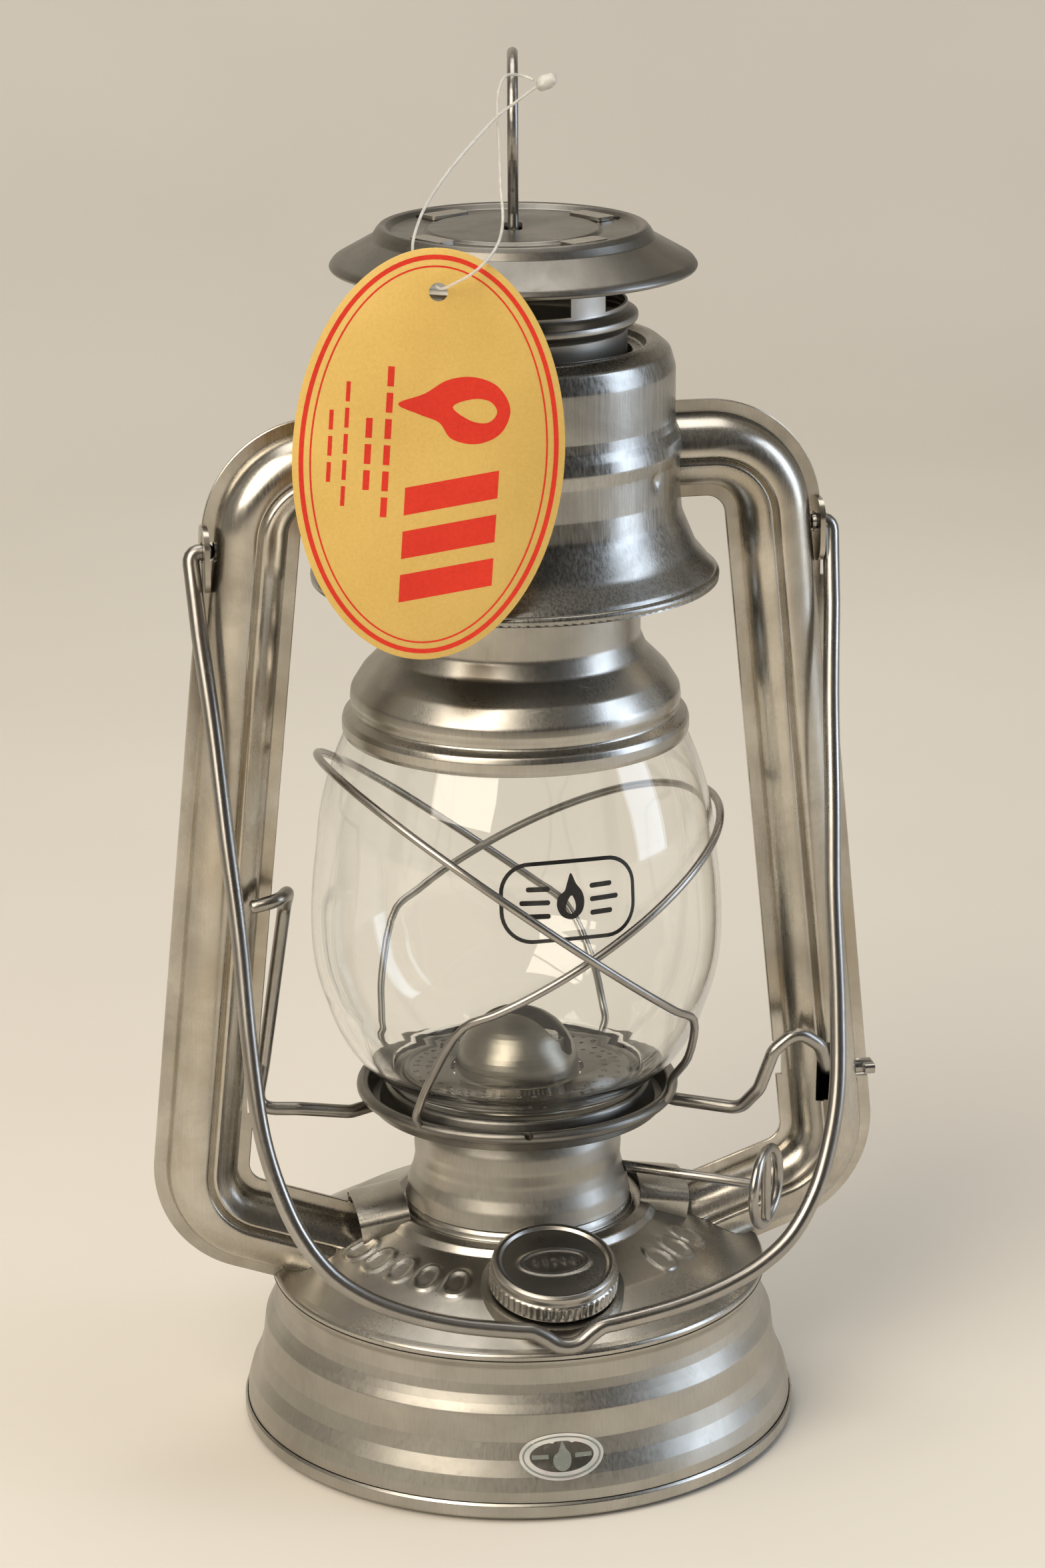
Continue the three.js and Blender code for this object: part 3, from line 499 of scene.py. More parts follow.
def glass():
    finish = Finish(
        "globe_glass", Transmission_Weight=1.0, IOR=1.46, Specular_IOR_Level=0.3,
        Base_Color=(0.985, 0.99, 0.98, 1),
    )
    smears = finish.spread(finish.noise(40, 4), 0.5, 0.75, 0.0, 0.035)
    waves = finish.bumps(finish.noise(28, 1.5, stretch=(1, 1, 0.6)), 0.12, 0.0012)
    return finish.done(Roughness=smears, Normal=waves)


def cotton():
    finish = Finish("wick_cotton", Roughness=0.95, Sheen_Weight=0.3)
    weave = finish.wave("Z", 420, 2.0)
    cross = finish.noise(1500, 2, stretch=(1, 1, 0.2))
    both = finish.maths("MULTIPLY", weave, cross)
    colour = finish.blend(finish.spread(both, 0.05, 0.5), (0.62, 0.56, 0.44), (0.87, 0.83, 0.73))
    return finish.done(Base_Color=colour, Normal=finish.bumps(both, 0.6, 0.0003))


def cork():
    finish = Finish("gasket", Roughness=0.85)
    grains = finish.noise(900, 4)
    colour = finish.blend(finish.spread(grains, 0.35, 0.65), (0.16, 0.12, 0.09), (0.34, 0.26, 0.18))
    return finish.done(Base_Color=colour, Normal=finish.bumps(grains, 0.4, 0.0002))


def card(name, light, dark):
    """Printed card: a fine paper fibre and a slight unevenness in the ink."""
    finish = Finish(name, Specular_IOR_Level=0.4)
    fibre = finish.noise(1800, 4, roughness=0.7)
    cloud = finish.noise(70, 3)
    tone = finish.mixture(fibre, cloud, 0.6)
    colour = finish.blend(finish.spread(tone, 0.35, 0.65), dark, light)
    rough = finish.spread(fibre, 0.3, 0.7, 0.42, 0.6)
    normal = finish.bumps(fibre, 0.15, 0.00004)
    return finish.done(Base_Color=colour, Roughness=rough, Normal=normal)


def clear_plastic():
    finish = Finish(
        "clear_plastic", Transmission_Weight=0.55, IOR=1.5, Roughness=0.22,
        Subsurface_Weight=0.2, Subsurface_Radius=(0.001, 0.001, 0.001),
    )
    haze = finish.spread(finish.noise(600, 3), 0.3, 0.7)
    return finish.done(Base_Color=finish.blend(haze, (0.78, 0.76, 0.70), (0.95, 0.95, 0.93)))


def foil():
    """A silvery sticker whose colour drifts as holographic film does."""
    finish = Finish("foil_sticker", Metallic=0.55, Roughness=0.36, Coat_Weight=0.4)
    bands = finish.wave("DIAGONAL", 95, 5.0)
    colour = finish.blend(bands, (0.88, 0.87, 0.84), (0.74, 0.79, 0.77))
    rose = finish.spread(finish.noise(260, 2), 0.45, 0.62, 0.0, 0.8)
    colour = finish.blend(rose, colour, (0.82, 0.74, 0.77))
    return finish.done(Base_Color=colour, Normal=finish.bumps(bands, 0.15, 0.0001))


def ink(name, colour, worn):
    """Fired or printed ink with tiny pinholes of wear."""
    finish = Finish(name, Roughness=0.4)
    wear = finish.spread(finish.noise(3200, 3), 0.62, 0.74)
    return finish.done(Base_Color=finish.blend(wear, colour, worn))


GLASS = glass()
COTTON = cotton()
CORK = cork()
CARD = card("tag_card", (0.72, 0.49, 0.14), (0.62, 0.41, 0.105))
CARD_RED = card("tag_red", (0.72, 0.035, 0.012), (0.58, 0.02, 0.008))
CLEAR = clear_plastic()
FOIL = foil()
BLACK_INK = ink("globe_ink", (0.012, 0.012, 0.012), (0.05, 0.05, 0.05))
GREY_INK = ink("sticker_ink", (0.20, 0.22, 0.20), (0.42, 0.42, 0.40))


# ---------------- flat shapes laid on a surface
def inside(spot, loops):
    """Whether a 2-D point lies in an odd number of the loops."""
    count = 0
    for loop in loops:
        for a, b in zip(loop, loop[1:] + loop[:1]):
            if (a[1] > spot[1]) != (b[1] > spot[1]):
                count += spot[0] < a[0] + (spot[1] - a[1]) * (b[0] - a[0]) / (b[1] - a[1])
    return count % 2 == 1


def laid_shape(name, loops, place, thickness, spacing):
    """A thin plate with the loops' outline and holes. place(u, v, lift) puts it on a surface."""
    loops = [[Vector(p[:2]) for p in loop] for loop in loops]
    spots, edges = [], []
    for loop in loops:
        first = len(spots)
        spots += loop
        edges += [(first + i, first + (i + 1) % len(loop)) for i in range(len(loop))]
    low_u, high_u = min(p[0] for p in spots), max(p[0] for p in spots)
    low_v, high_v = min(p[1] for p in spots), max(p[1] for p in spots)
    rim = list(spots)
    for i in range(1, int((high_u - low_u) / spacing) + 1):
        for j in range(1, int((high_v - low_v) / spacing) + 1):
            spot = Vector((low_u + i * spacing, low_v + j * spacing))
            near = min((spot - p).length for p in rim)
            if near > 0.35 * spacing and inside(spot, loops):
                spots.append(spot)
    flat, _, faces, *_ = delaunay_2d_cdt(spots, edges, [], 0, 1e-5)
    kept = []
    for face in faces:
        middle = sum((flat[i] for i in face), Vector((0, 0))) / 3
        if inside(middle, loops):
            kept.append(tuple(face))
    count = len(flat)
    vertices = [place(p[0], p[1], lift) for lift in (0.0, thickness) for p in flat]
    directed = {(a, b) for face in kept for a, b in zip(face, face[1:] + face[:1])}
    walls = [(a, b, b + count, a + count) for a, b in directed if (b, a) not in directed]
    bottom = [face[::-1] for face in kept]
    top = [tuple(i + count for i in face) for face in kept]
    return new_piece(name, vertices, bottom + top + walls)


def lay(name, loops, place, material, node, thickness=0.03, spacing=1.2):
    """Lays a thin shape on a surface. It moves with the CAD node given."""
    shape = laid_shape(name, loops, place, thickness, spacing)
    dressed(shape, material, body=BODY_OF[node])


def closed_flow(points):
    """A smooth closed loop through the points."""
    per = 6
    ring = [Vector(p) for p in points]
    line = flowing(ring[-2:] + ring + ring[:3], per)
    return line[2 * per : (2 + len(ring)) * per]


def moved_loop(loop, shift, size, turn=0.0):
    rotation = Matrix.Rotation(radians(turn), 2)
    return [rotation @ Vector(p[:2]) * size + Vector(shift) for p in loop]


FLAME = [  # a drop of flame, about 10 wide and 17 high
    (0.4, 9.6), (2.2, 5.8), (4.4, 2.6), (5.1, -1.2), (3.9, -4.8), (0.6, -6.8),
    (-3.0, -5.6), (-4.8, -2.2), (-4.2, 1.6), (-2.0, 3.4), (-1.0, 6.2),
]
FLAME_HEART = [(0.5, 1.6), (1.9, -1.6), (1.5, -4.0), (0.1, -4.9), (-1.4, -3.9), (-1.5, -1.5)]


def flame_loops(shift, size, turn=0.0):
    """The flame's outline and the hole at its heart."""
    return [moved_loop(closed_flow(line), shift, size, turn) for line in (FLAME, FLAME_HEART)]


# ---------------- hang tag, its thread and clasp
TAG_FRONT = (
    offset(-21.4, -34.6, 190.8)
    @ spin(-11)
    @ spin(90, "X")
    @ spin(-4)
)
TAG_WIDTH, TAG_HEIGHT, TAG_THICKNESS = 45.8, 70.8, 0.4
STRING_ROUTE = [
    (1.4, -13.6, 249), (-1.6, -13.9, 247), (-4.6, -14.2, 245), (-9.9, -17.5, 241),
    (-17.2, -25, 235.3), (-21.8, -30.6, 230.2), (-23.4, -33, 225.3), (-21.6, -33.5, 221.4),
    (-19.9, -34, 219.8), (-19.4, -35.4, 219.4), (-18.9, -37, 219.7), (-17.4, -38.8, 220.8),
    (-14.6, -39.4, 222.4), (-11.8, -37.6, 224.2), (-9.2, -34, 226.2), (-7.2, -28, 229),
    (-6.2, -21, 233.5), (-5.4, -15.6, 239), (-5.2, -13.4, 244), (-4.6, -11.4, 248.4),
    (-2.9, -9.8, 250.6), (0, -9.4, 250.4), (1.6, -10.6, 249.8),
]
STRING_DIAMETER = 0.5


def on_tag(side=1):
    """Places a flat shape on the front (1) or back (-1) of the tag."""
    def place(u, v, lift):
        return TAG_FRONT @ Vector((u, v, side * (TAG_THICKNESS / 2 + lift)))
    return place


def tag_oval(inset, steps):
    return ellipse(TAG_WIDTH - 2 * inset, TAG_HEIGHT - 2 * inset, steps)


def add_tag():
    rings = []
    for z, inset in ((-0.2, 0.12), (-0.12, 0.0), (0.12, 0.0), (0.2, 0.12)):
        rings.append([TAG_FRONT @ Vector((*p, z)) for p in tag_oval(inset, 144)])
    punch = prism("punch", disc_outline(1.6), -2, 2, TAG_FRONT @ offset(0, 28, 0))
    tag = bored(lofted("hang_tag_card", rings), [punch])
    dressed(tag, CARD, ["hang_tag"])
    for side, face in ((1, "front"), (-1, "back")):
        for part, outer, inner in (("thick", 1.1, 1.9), ("thin", 2.9, 3.2)):
            loops = [tag_oval(inset, 120) for inset in (outer, inner)]
            name = f"tag_{face}_{part}_border"
            lay(name, loops, on_tag(side), CARD_RED, "hang_tag")


def add_tag_print():
    """The tag's picture: a flame over slanted bars, with short dashed rules beside it."""
    prints = [("flame", flame_loops((5.4, 8.2), 1.15, 90))]
    for i, (low, high) in enumerate(((-3.2, -8.0), (-10.8, -15.6), (-18.4, -23.2))):
        bar = [(-3.6, low - 2.4), (12.0, low + 1.6), (12.0, high + 1.6), (-3.6, high - 2.4)]
        prints.append((f"bar_{i + 1}", [bar]))
    columns = ((-7.6, 15, -14), (-10.8, 6, -7), (-14.4, 12, -13), (-17.0, 7, -6))
    for i, (x, top, bottom) in enumerate(columns):
        thickness = 1.1 if i < 2 else 0.7
        for k, (a, b) in enumerate(dashes(top, bottom)):
            rule = [(x, a), (x + thickness, a), (x + thickness, b), (x, b)]
            prints.append((f"rule_{i + 1}_{k + 1}", [rule]))
    for name, loops in prints:
        lay(f"tag_print_{name}", loops, on_tag(), CARD_RED, "hang_tag")


def dashes(top, bottom):
    """Pairs of ends of short dashes that fill a column from top to bottom."""
    length, space = 3.4, 1.1
    count = int((top - bottom + space) / (length + space))
    starts = [top - i * (length + space) for i in range(count)]
    return [(start, start - length) for start in starts]


def add_string():
    line = flowing(STRING_ROUTE, 8)
    curve = bpy.data.curves.new("tag_thread", "CURVE")
    curve.dimensions = "3D"
    curve.bevel_depth = STRING_DIAMETER / 2 * MM
    curve.bevel_resolution = 4
    curve.use_fill_caps = True
    spline = curve.splines.new("POLY")
    spline.points.add(len(line) - 1)
    for point, spot in zip(spline.points, line):
        point.co = (*(spot * MM), 1)
    curve.materials.append(CLEAR)
    string = bpy.data.objects.new("tag_thread", curve)
    bpy.context.scene.collection.objects.link(string)
    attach(string, BODY_OF["tag_string"])
    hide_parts("tag_string")
    length = sum((b - a).length for a, b in zip(line, line[1:])) * MM
    return string, line[0] * MM, length


def add_clasp():
    """A moulded snap clasp: a lumpy bead with a flattened fin where its halves close."""
    rings = []
    for i in range(1, 12):
        share = i / 12
        girth = 1.55 * sin(pi * share) ** 0.7
        girth *= 1 + 0.12 * sin(9 * share)
        centre = Vector((1.5 + 4.0 * share, -12.2, 249.2 + 0.9 * share))
        ring = []
        for angle in round_angles(24):
            fin = 1 + 0.18 * abs(cos(angle)) ** 6 - 0.14 * abs(sin(2 * angle))
            reach = Vector((0, cos(angle) * girth * fin * 0.9, sin(angle) * girth * fin))
            ring.append(centre + reach)
        rings.append(ring)
    bead = lofted("tag_thread_clasp", rings)
    return dressed(bead, CLEAR, ["tag_clasp"], crisp=70)


string, string_start, string_length = add_string()
add_tag()
add_tag_print()
clasp = add_clasp()
tuple(string_start)


# ---------------- turned sheet metal
def dense(line, spacing):
    """The same line with points no further apart than the spacing."""
    fine = [line[0]]
    for a, b in zip(line, line[1:]):
        count = max(1, ceil((b - a).length / spacing))
        fine += [a.lerp(b, i / count) for i in range(1, count + 1)]
    return fine


def spun_sheet(name, points, wall=SHEET, radius=CORNER, steps=144, spacing=3.0, reshape=None):
    """A turned shell of sheet metal under a line of (radius, height[, corner radius]) points."""
    line = dense(eased(points, radius), spacing)
    return revolved(name, sheet_outline(line, wall), steps, reshape)


def spun_block(name, points, grown=0.0, steps=144, spacing=3.0, reshape=None):
    """The filled turned body under the same kind of line."""
    line = dense(shifted(eased(points, CORNER), grown), spacing)
    outline = [Vector((0, line[0].y)), *line, Vector((0, line[-1].y))]
    return revolved(name, outline, steps, reshape)


def placed(piece, matrix):
    """Moves a new piece's mesh by a matrix whose shift is in millimetres."""
    moved = matrix.copy()
    moved.translation = moved.translation * MM
    piece.data.transform(moved)
    return piece


def rod(radius, low, high, matrix=None, steps=32):
    return prism("rod", disc_outline(radius, steps), low, high, matrix)


def block(x, y, z, rounding=0.3):
    """A box between pairs of limits, its upright edges rounded."""
    outline = [
        p + Vector(((x[0] + x[1]) / 2, (y[0] + y[1]) / 2))
        for p in rounded_rectangle(x[1] - x[0], y[1] - y[0], rounding, 3)
    ]
    return prism("block", outline, z[0], z[1])


def ring_outline(radius, height, thickness):
    """The section of a ring of round wire."""
    return [Vector((radius + p.x, height + p.y)) for p in disc_outline(thickness, 20)]


def radius_at(line, height):
    """The radius of a rising line at a height."""
    for a, b in zip(line, line[1:]):
        if min(a[1], b[1]) <= height <= max(a[1], b[1]) and a[1] != b[1]:
            return a[0] + (b[0] - a[0]) * (height - a[1]) / (b[1] - a[1])
    return line[0][0]


def azimuth_of(spot):
    """Degrees round from the front, towards +X."""
    return degrees(atan2(spot.x, -spot.y))


FILLER = offset(0, -32.7, 37.4) @ spin(15, "X")
WICK_FRAME = spin(-33)
SHAFT = WICK_FRAME @ offset(0, 7.6, 46.8)

# ---------------- tank
BODY_LINE = [
    (51.0, 3.1), (50.9, 5.0), (50.2, 7.6), (48.9, 10.4), (48.0, 13.5), (47.6, 17.0), (47.4, 18.6),
    (46.6, 20.2), (45.9, 21.8), (45.5, 23.6), (45.3, 26.4), (45.9, 27.6), (46.0, 28.1),
]
DOME_LINE = [
    (45.9, 28.3), (46.05, 28.9), (45.7, 29.5), (44.6, 30.0), (35.5, 35.4, 6), (25.8, 39.2),
    (24.8, 40.5), (23.1, 41.1), (21.8, 40.6), (21.1, 40.25), (20.8, 41.3), (20.3, 42.2),
    (17.3, 42.2),
]
EMBOSSED_AT = (-73, -62.5, -52, -41.5, -31, 42, 52.5, 63)  # azimuths
EMBOSSED_RING = 32.4


def dome_block():
    """The dome filled to below its rim, to cut what is soldered to it."""
    return spun_block("dome_block", [(45.9, 20), *DOME_LINE], CLEARANCE)


def embossed(spot):
    """Raises a row of plain lozenge outlines on the dome, each about 5 mm wide."""
    radius = hypot(spot.x, spot.y)
    if not 27.5 < radius < 38:
        return spot
    azimuth = azimuth_of(spot)
    lift = 0.0
    along = (radius - EMBOSSED_RING) / 3.3
    for centre in EMBOSSED_AT:
        across = radians(azimuth - centre) * EMBOSSED_RING / 2.4
        size = sqrt(abs(across) ** 2.4 + abs(along) ** 2.4)
        lift = max(lift, 0.36 * bump_at(size, 0.84, 0.17))
    return spot + Vector((spot.x / radius, spot.y / radius, 1.7)).normalized() * lift


def add_tank():
    line = [(0, 1.2), (47.5, 1.2), (49.2, 0), (51.0, 0), (51.6, 0.6), (51.6, 2.6), (51.2, 3.0)]
    bottom = spun_sheet("tank_floor_and_rim", line, 0.6, 0.5)
    dressed(bottom, TIN, ["tank_bottom"])
    body = spun_sheet("tank_wall", BODY_LINE, radius=1.2, steps=192, spacing=1.5)
    dressed(body, TANK_TIN, ["tank_body"])
    seat, boss, clear = -0.5, 12.9, 12  # the filler's flat seat: its height, radius, and room above
    shell = spun_block("tank_top", DOME_LINE, steps=480, spacing=0.55, reshape=embossed)
    weld(shell, rod(boss, seat - 5, seat, FILLER, 96))
    cut(shell, rod(boss, seat, clear, FILLER, 96))
    hollow = spun_block("hollow", [(45.9, 26), *DOME_LINE], -SHEET)
    weld(hollow, rod(boss - SHEET, seat - 10, seat - SHEET, FILLER, 96))
    cut(hollow, rod(boss + SHEET, seat - SHEET, clear, FILLER, 96))
    cut(shell, hollow)
    bored(shell, [rod(9.3, -12, 12, FILLER, 48)])
    bored(shell, [rod(17.3, 26, 44, steps=96)])
    dressed(shell, TIN, ["tank_dome"], crisp=50)
    thread = [(9, -4.5), (9, 0.4), (8.8, 0.9), (9, 1.4), (9, 2.9)]
    neck = spun_sheet("filler_neck_tube", thread, 0.7, 0.3)
    dressed(placed(neck, FILLER), DULL_TIN, ["filler_neck"])


def capped(spot):
    """Knurls the cap's skirt and raises an oval with five plain bars on its top."""
    radius, height = hypot(spot.x, spot.y), spot.z
    if radius > 10.4 and height < 3.4:
        ridge = 0.5 + 0.5 * cos(54 * atan2(spot.y, spot.x))
        depth = 0.34 * ridge**2 * step(height, 0.35, 0.8) * (1 - step(height, 2.5, 3.3))
        return spot - Vector((spot.x, spot.y, 0)) / radius * depth
    if radius < 9.6 and height > 3.5:
        oval = sqrt((spot.x / 6.1) ** 2 + (spot.y / 3.5) ** 2)
        lift = 0.28 * bump_at(oval, 1.0, 0.09)
        for k in (-3.2, -1.6, 0, 1.6, 3.2):
            lift = max(lift, 0.26 * bump_at(hypot((spot.x - k) * 1.9, spot.y * 0.7), 0, 0.75))
        return spot + Vector((0, 0, lift))
    return spot


def add_filler_cap():
    line = [
        (11.45, 0.0), (11.7, 0.3), (11.7, 2.9), (11.2, 3.3), (11.25, 4.2), (11.1, 4.8), (10.5, 5.2),
        (9.9, 5.1), (9.4, 4.6), (0, 4.6),
    ]
    cap = spun_sheet("screw_cap", line, radius=0.35, steps=324, spacing=0.32, reshape=capped)
    dressed(placed(cap, FILLER), CAP_TIN, ["filler_cap"], crisp=60)


# ---------------- burner
def ring_of_holes(size, radius, low, high, count, phase=0.0):
    """Rods about the axis. phase turns them by a share of their spacing."""
    holes = []
    for i in range(count):
        turn = Matrix.Rotation(2 * pi * (i + phase) / count, 4, "Z")
        holes.append(rod(size, low, high, turn @ offset(radius, 0, 0), 10))
    return holes


def add_burner():
    line = [
        (20.9, 42.35), (20.75, 43.0, 3), (20.4, 45.2, 5), (19.5, 47.6, 5), (19.0, 50.0, 5),
        (19.2, 52.6, 5), (18.8, 55.4, 5), (18.0, 57.6, 4), (17.2, 59.0, 2), (16.6, 59.8),
    ]
    collar = spun_sheet("burner_throat", line)
    bored(collar, [rod(1.3, 0, 30, SHAFT @ spin(90, "Y"), 20)])
    dressed(collar, TANK_TIN, ["burner_collar"])

    deck = spun_sheet("burner_air_deck", [(17.5, 55.8), (16.9, 56.0), (0, 56.0)])
    holes = ring_of_holes(1.0, 14.6, 54, 58, 18)
    slot = prism("slot", rounded_rectangle(18.6, 5.0, 2.0), 54, 58, WICK_FRAME)
    dressed(bored(deck, [*holes, slot]), BURNER_TIN, ["burner_deck"])

    radius, spring, rise = 11.6, 66, 12.3
    angles = [pi / 2 * i / 16 for i in range(16)]
    arc = [(radius * cos(a), spring + rise * sin(a)) for a in angles]
    line = [(11.9, 56.3), (radius, 56.8), *arc, (0, spring + rise)]
    dome = spun_sheet("flame_dome", line, radius=0.4)
    mouth = prism("mouth", rounded_rectangle(21.2, 5.2, 2.5, 8), 69, 80, WICK_FRAME)
    dressed(bored(dome, [mouth]), BURNER_TIN, ["burner_dome"])

    tube = prism("wick_sheath", rounded_rectangle(18.0, 4.4, 1.6), 30, 73, WICK_FRAME)
    bore = prism("bore", rounded_rectangle(16.8, 3.2, 1.2), 29, 74, WICK_FRAME)
    slots = []
    for k in (-4.6, 4.6):
        outline = [(k - 1.3, 0), (k + 1.3, 0), (k + 1.3, 4), (k - 1.3, 4)]
        slots.append(prism("slot", outline, 41, 52.6, WICK_FRAME))
    dressed(bored(bored(tube, [bore]), slots), BURNER_TIN, ["wick_tube"])

    heights = [8, 8.3, *range(10, 74, 2), 74.0, 74.4]
    rings = []
    for i, height in enumerate(heights):
        pinch = 0.3 if height in (8, 74.4) else 0.02 * (i % 3)
        outline = rounded_rectangle(16 - 2 * pinch, 2.4 - 2 * pinch, 0.8)
        rings.append([WICK_FRAME @ Vector((x, y, height)) for x, y in outline])
    dressed(lofted("flat_wick", rings), COTTON, ["wick"])

    spindle = wire("wick_spindle", [(-9, 0, 0), (0, 0, 0), (20, 0, 0), (44.9, 0, 0)], 1.0)
    dressed(placed(spindle, SHAFT), WIRE_STEEL, ["wick_shaft"])
    grip = placed(revolved("wick_thumb_ring", ring_outline(7.1, 0, 0.95), 72), spin(90, "Y"))
    weld(grip, wire("bar", [(0, 0, -7.1), (0, 0, 0), (0, 0, 7.1)], 0.93))
    placed(grip, SHAFT @ offset(46.2, 0, 0))
    dressed(grip, WIRE_STEEL, ["thumb_ring"])
    for node in ("spur_wheel_1", "spur_wheel_2", "burner_cup", "cap_gasket"):
        mesh = frame["nodes"][node].data
        mesh.materials.clear()
        mesh.materials.append(CORK if node == "cap_gasket" else BURNER_TIN)
        mesh.set_sharp_from_angle(angle=radians(35))


# ---------------- globe, plate and guard wires
GLASS_SPOTS = [
    (23.8, 66.2), (26.6, 68.3), (30.2, 71.6), (33.4, 77), (35.3, 82.3), (36.2, 85), (37.2, 90),
    (37.5, 96.5), (37.1, 104), (36.4, 110), (35.6, 117), (33.6, 124.8), (31, 131.5), (28.2, 138),
    (27.3, 141.2),
]
GLASS_LINE = flowing(GLASS_SPOTS, 4)
GLASS_WALL = 1.2
PLATE_RADIUS, PLATE_ROLL, PLATE_HEIGHT = 28.55, 1.15, 63.8
GUARD_RADIUS = 0.75


def add_globe():
    inner = shifted(GLASS_LINE, -GLASS_WALL)
    outline = GLASS_LINE + [GLASS_LINE[-1] + Vector((-0.6, 0.35))] + inner[::-1]
    outline.append(GLASS_LINE[0] + Vector((-0.8, -0.05)))
    dressed(revolved("globe", outline, 192), GLASS, ["glass_globe"], crisp=70)

    line = [
        (12.4, 66.2), (20.3, 65.8), (20.9, 66.3), (21.7, 65.1), (24.1, 64.9), (25.1, 60.7),
        (27.1, 60.7), (28.2, 62.9),
    ]
    pan = spun_sheet("globe_pan", line, radius=0.5, steps=180)
    holes = ring_of_holes(0.55, 16.4, 64, 68, 36) + ring_of_holes(0.55, 18.9, 64, 68, 44, 0.5)
    bored(pan, holes)
    weld(pan, revolved("roll", ring_outline(PLATE_RADIUS, PLATE_HEIGHT, PLATE_ROLL), 180))
    spare = offset(-3.6, -29.3, PLATE_HEIGHT + 0.8) @ spin(90, "X")
    bored(pan, [rod(0.8, -1.6, 1.6, spare, 16)])
    dressed(pan, DARK_TIN, ["globe_plate"])


def glass_radius(height):
    return radius_at(GLASS_LINE, height)


def guard_route(middle, slope_x, slope_y, start, end, hooks, stand_off):
    """A tilted hoop round the globe whose two ends stand in the plate's rolled rim."""
    def hoop_height(angle):
        height = middle
        for _ in range(6):
            spot = about_z(angle, glass_radius(height) + stand_off, 0)
            height = middle + slope_x * spot.x + slope_y * spot.y
        return height

    outside = PLATE_RADIUS + PLATE_ROLL + 0.3 + GUARD_RADIUS

    def leg(bend, hook_angle):
        height = (hoop_height(bend) + PLATE_HEIGHT) / 2 + 1
        near, far = (bend + (hook_angle - bend) * share for share in (0.5, 0.9))
        return [
            about_z(near, glass_radius(height) + stand_off, height),
            about_z(far, outside + 0.1, PLATE_HEIGHT + 5.0),
        ]

    def hook(angle):
        return [
            about_z(angle, outside - 0.6, PLATE_HEIGHT + 2.4),
            about_z(angle, PLATE_RADIUS + 0.5, PLATE_HEIGHT + 0.2),
        ]

    hoop = []
    for angle in evenly(start, end, 28):
        height = hoop_height(angle)
        hoop.append(about_z(angle, glass_radius(height) + stand_off, height))
    first = leg(start, hooks[0]) + hook(hooks[0])
    last = leg(end, hooks[1]) + hook(hooks[1])
    return flowing([*reversed(first), *hoop, *last], 4)


def add_guards():
    near = GUARD_RADIUS + 0.55
    far = near + 2 * GUARD_RADIUS + 0.3
    right = guard_route(96.9, 0.537, 0, -115, 117, (-138, 140), near)
    left = guard_route(101.4, -0.746, -0.09, -47, -295, (-34, -316), far)
    for side, route in (("right", right), ("left", left)):
        guard = wire(f"globe_guard_{side}", route, GUARD_RADIUS, 14)
        dressed(guard, WIRE_STEEL, [f"guard_wire_{side}"])


def add_globe_mark():
    """A fired mark on the glass: a rounded frame with a flame between short rules."""
    middle, centre = 4.0, 110.8

    def on_glass(u, v, lift):
        height = centre + v
        radius = glass_radius(height) + lift
        return about_z(middle - 90 + degrees(u / radius), radius, height)

    frame_loops = [rounded_rectangle(25.0, 14.4, 5.6, 9), rounded_rectangle(23.6, 13.0, 4.9, 9)]
    rules = []
    for side in (-1, 1):
        for k, (height, length) in enumerate(((2.4, 4.2), (0, 5.4), (-2.4, 4.2))):
            x = side * (3.6 + length / 2)
            outline = [p + Vector((x, height)) for p in rounded_rectangle(length, 0.9, 0.4, 3)]
            rules.append((f"rule_{'left' if side < 0 else 'right'}_{k + 1}", [outline]))
    marks = [("frame", frame_loops), ("flame", flame_loops((0, 0.2), 0.5)), *rules]
    for name, loops in marks:
        name = f"globe_mark_{name}"
        lay(name, loops, on_glass, BLACK_INK, "glass_globe", spacing=0.9)


def add_sticker():
    """An oval foil seal on the tank's wall with a plain flame and two rings."""
    middle, centre = -2.0, 11.0

    def on_wall(base):
        def place(u, v, lift):
            height = centre + v * 0.93
            radius = radius_at(BODY_LINE, height) + base + lift
            return about_z(middle - 90 + degrees(u / radius), radius, height)
        return place

    left = [[(-5.4, -0.4), (-2.4, -0.4), (-2.4, 0.4), (-5.4, 0.4)]]
    right = [[(2.4, -0.4), (5.4, -0.4), (5.4, 0.4), (2.4, 0.4)]]
    for name, loops, base, thickness, material in (
        ("foil", [ellipse(15.3, 8.6)], 0.12, 0.06, FOIL),
        ("centre", [ellipse(11.6, 5.6)], 0.18, 0.02, CAP_TIN),
        ("ring", [ellipse(14.2, 7.6), ellipse(13.6, 7.0)], 0.2, 0.03, GREY_INK),
        ("flame", [moved_loop(closed_flow(FLAME), (0, -0.4), 0.33)], 0.2, 0.03, GREY_INK),
        ("rule_left", left, 0.2, 0.03, GREY_INK),
        ("rule_right", right, 0.2, 0.03, GREY_INK),
    ):
        lay(f"seal_{name}", loops, on_wall(base), material, "tank_body", thickness)


# ---------------- chimney, hood and lift ring
LEG_TURN, RING_TURN = -15, -11  # degrees about Z


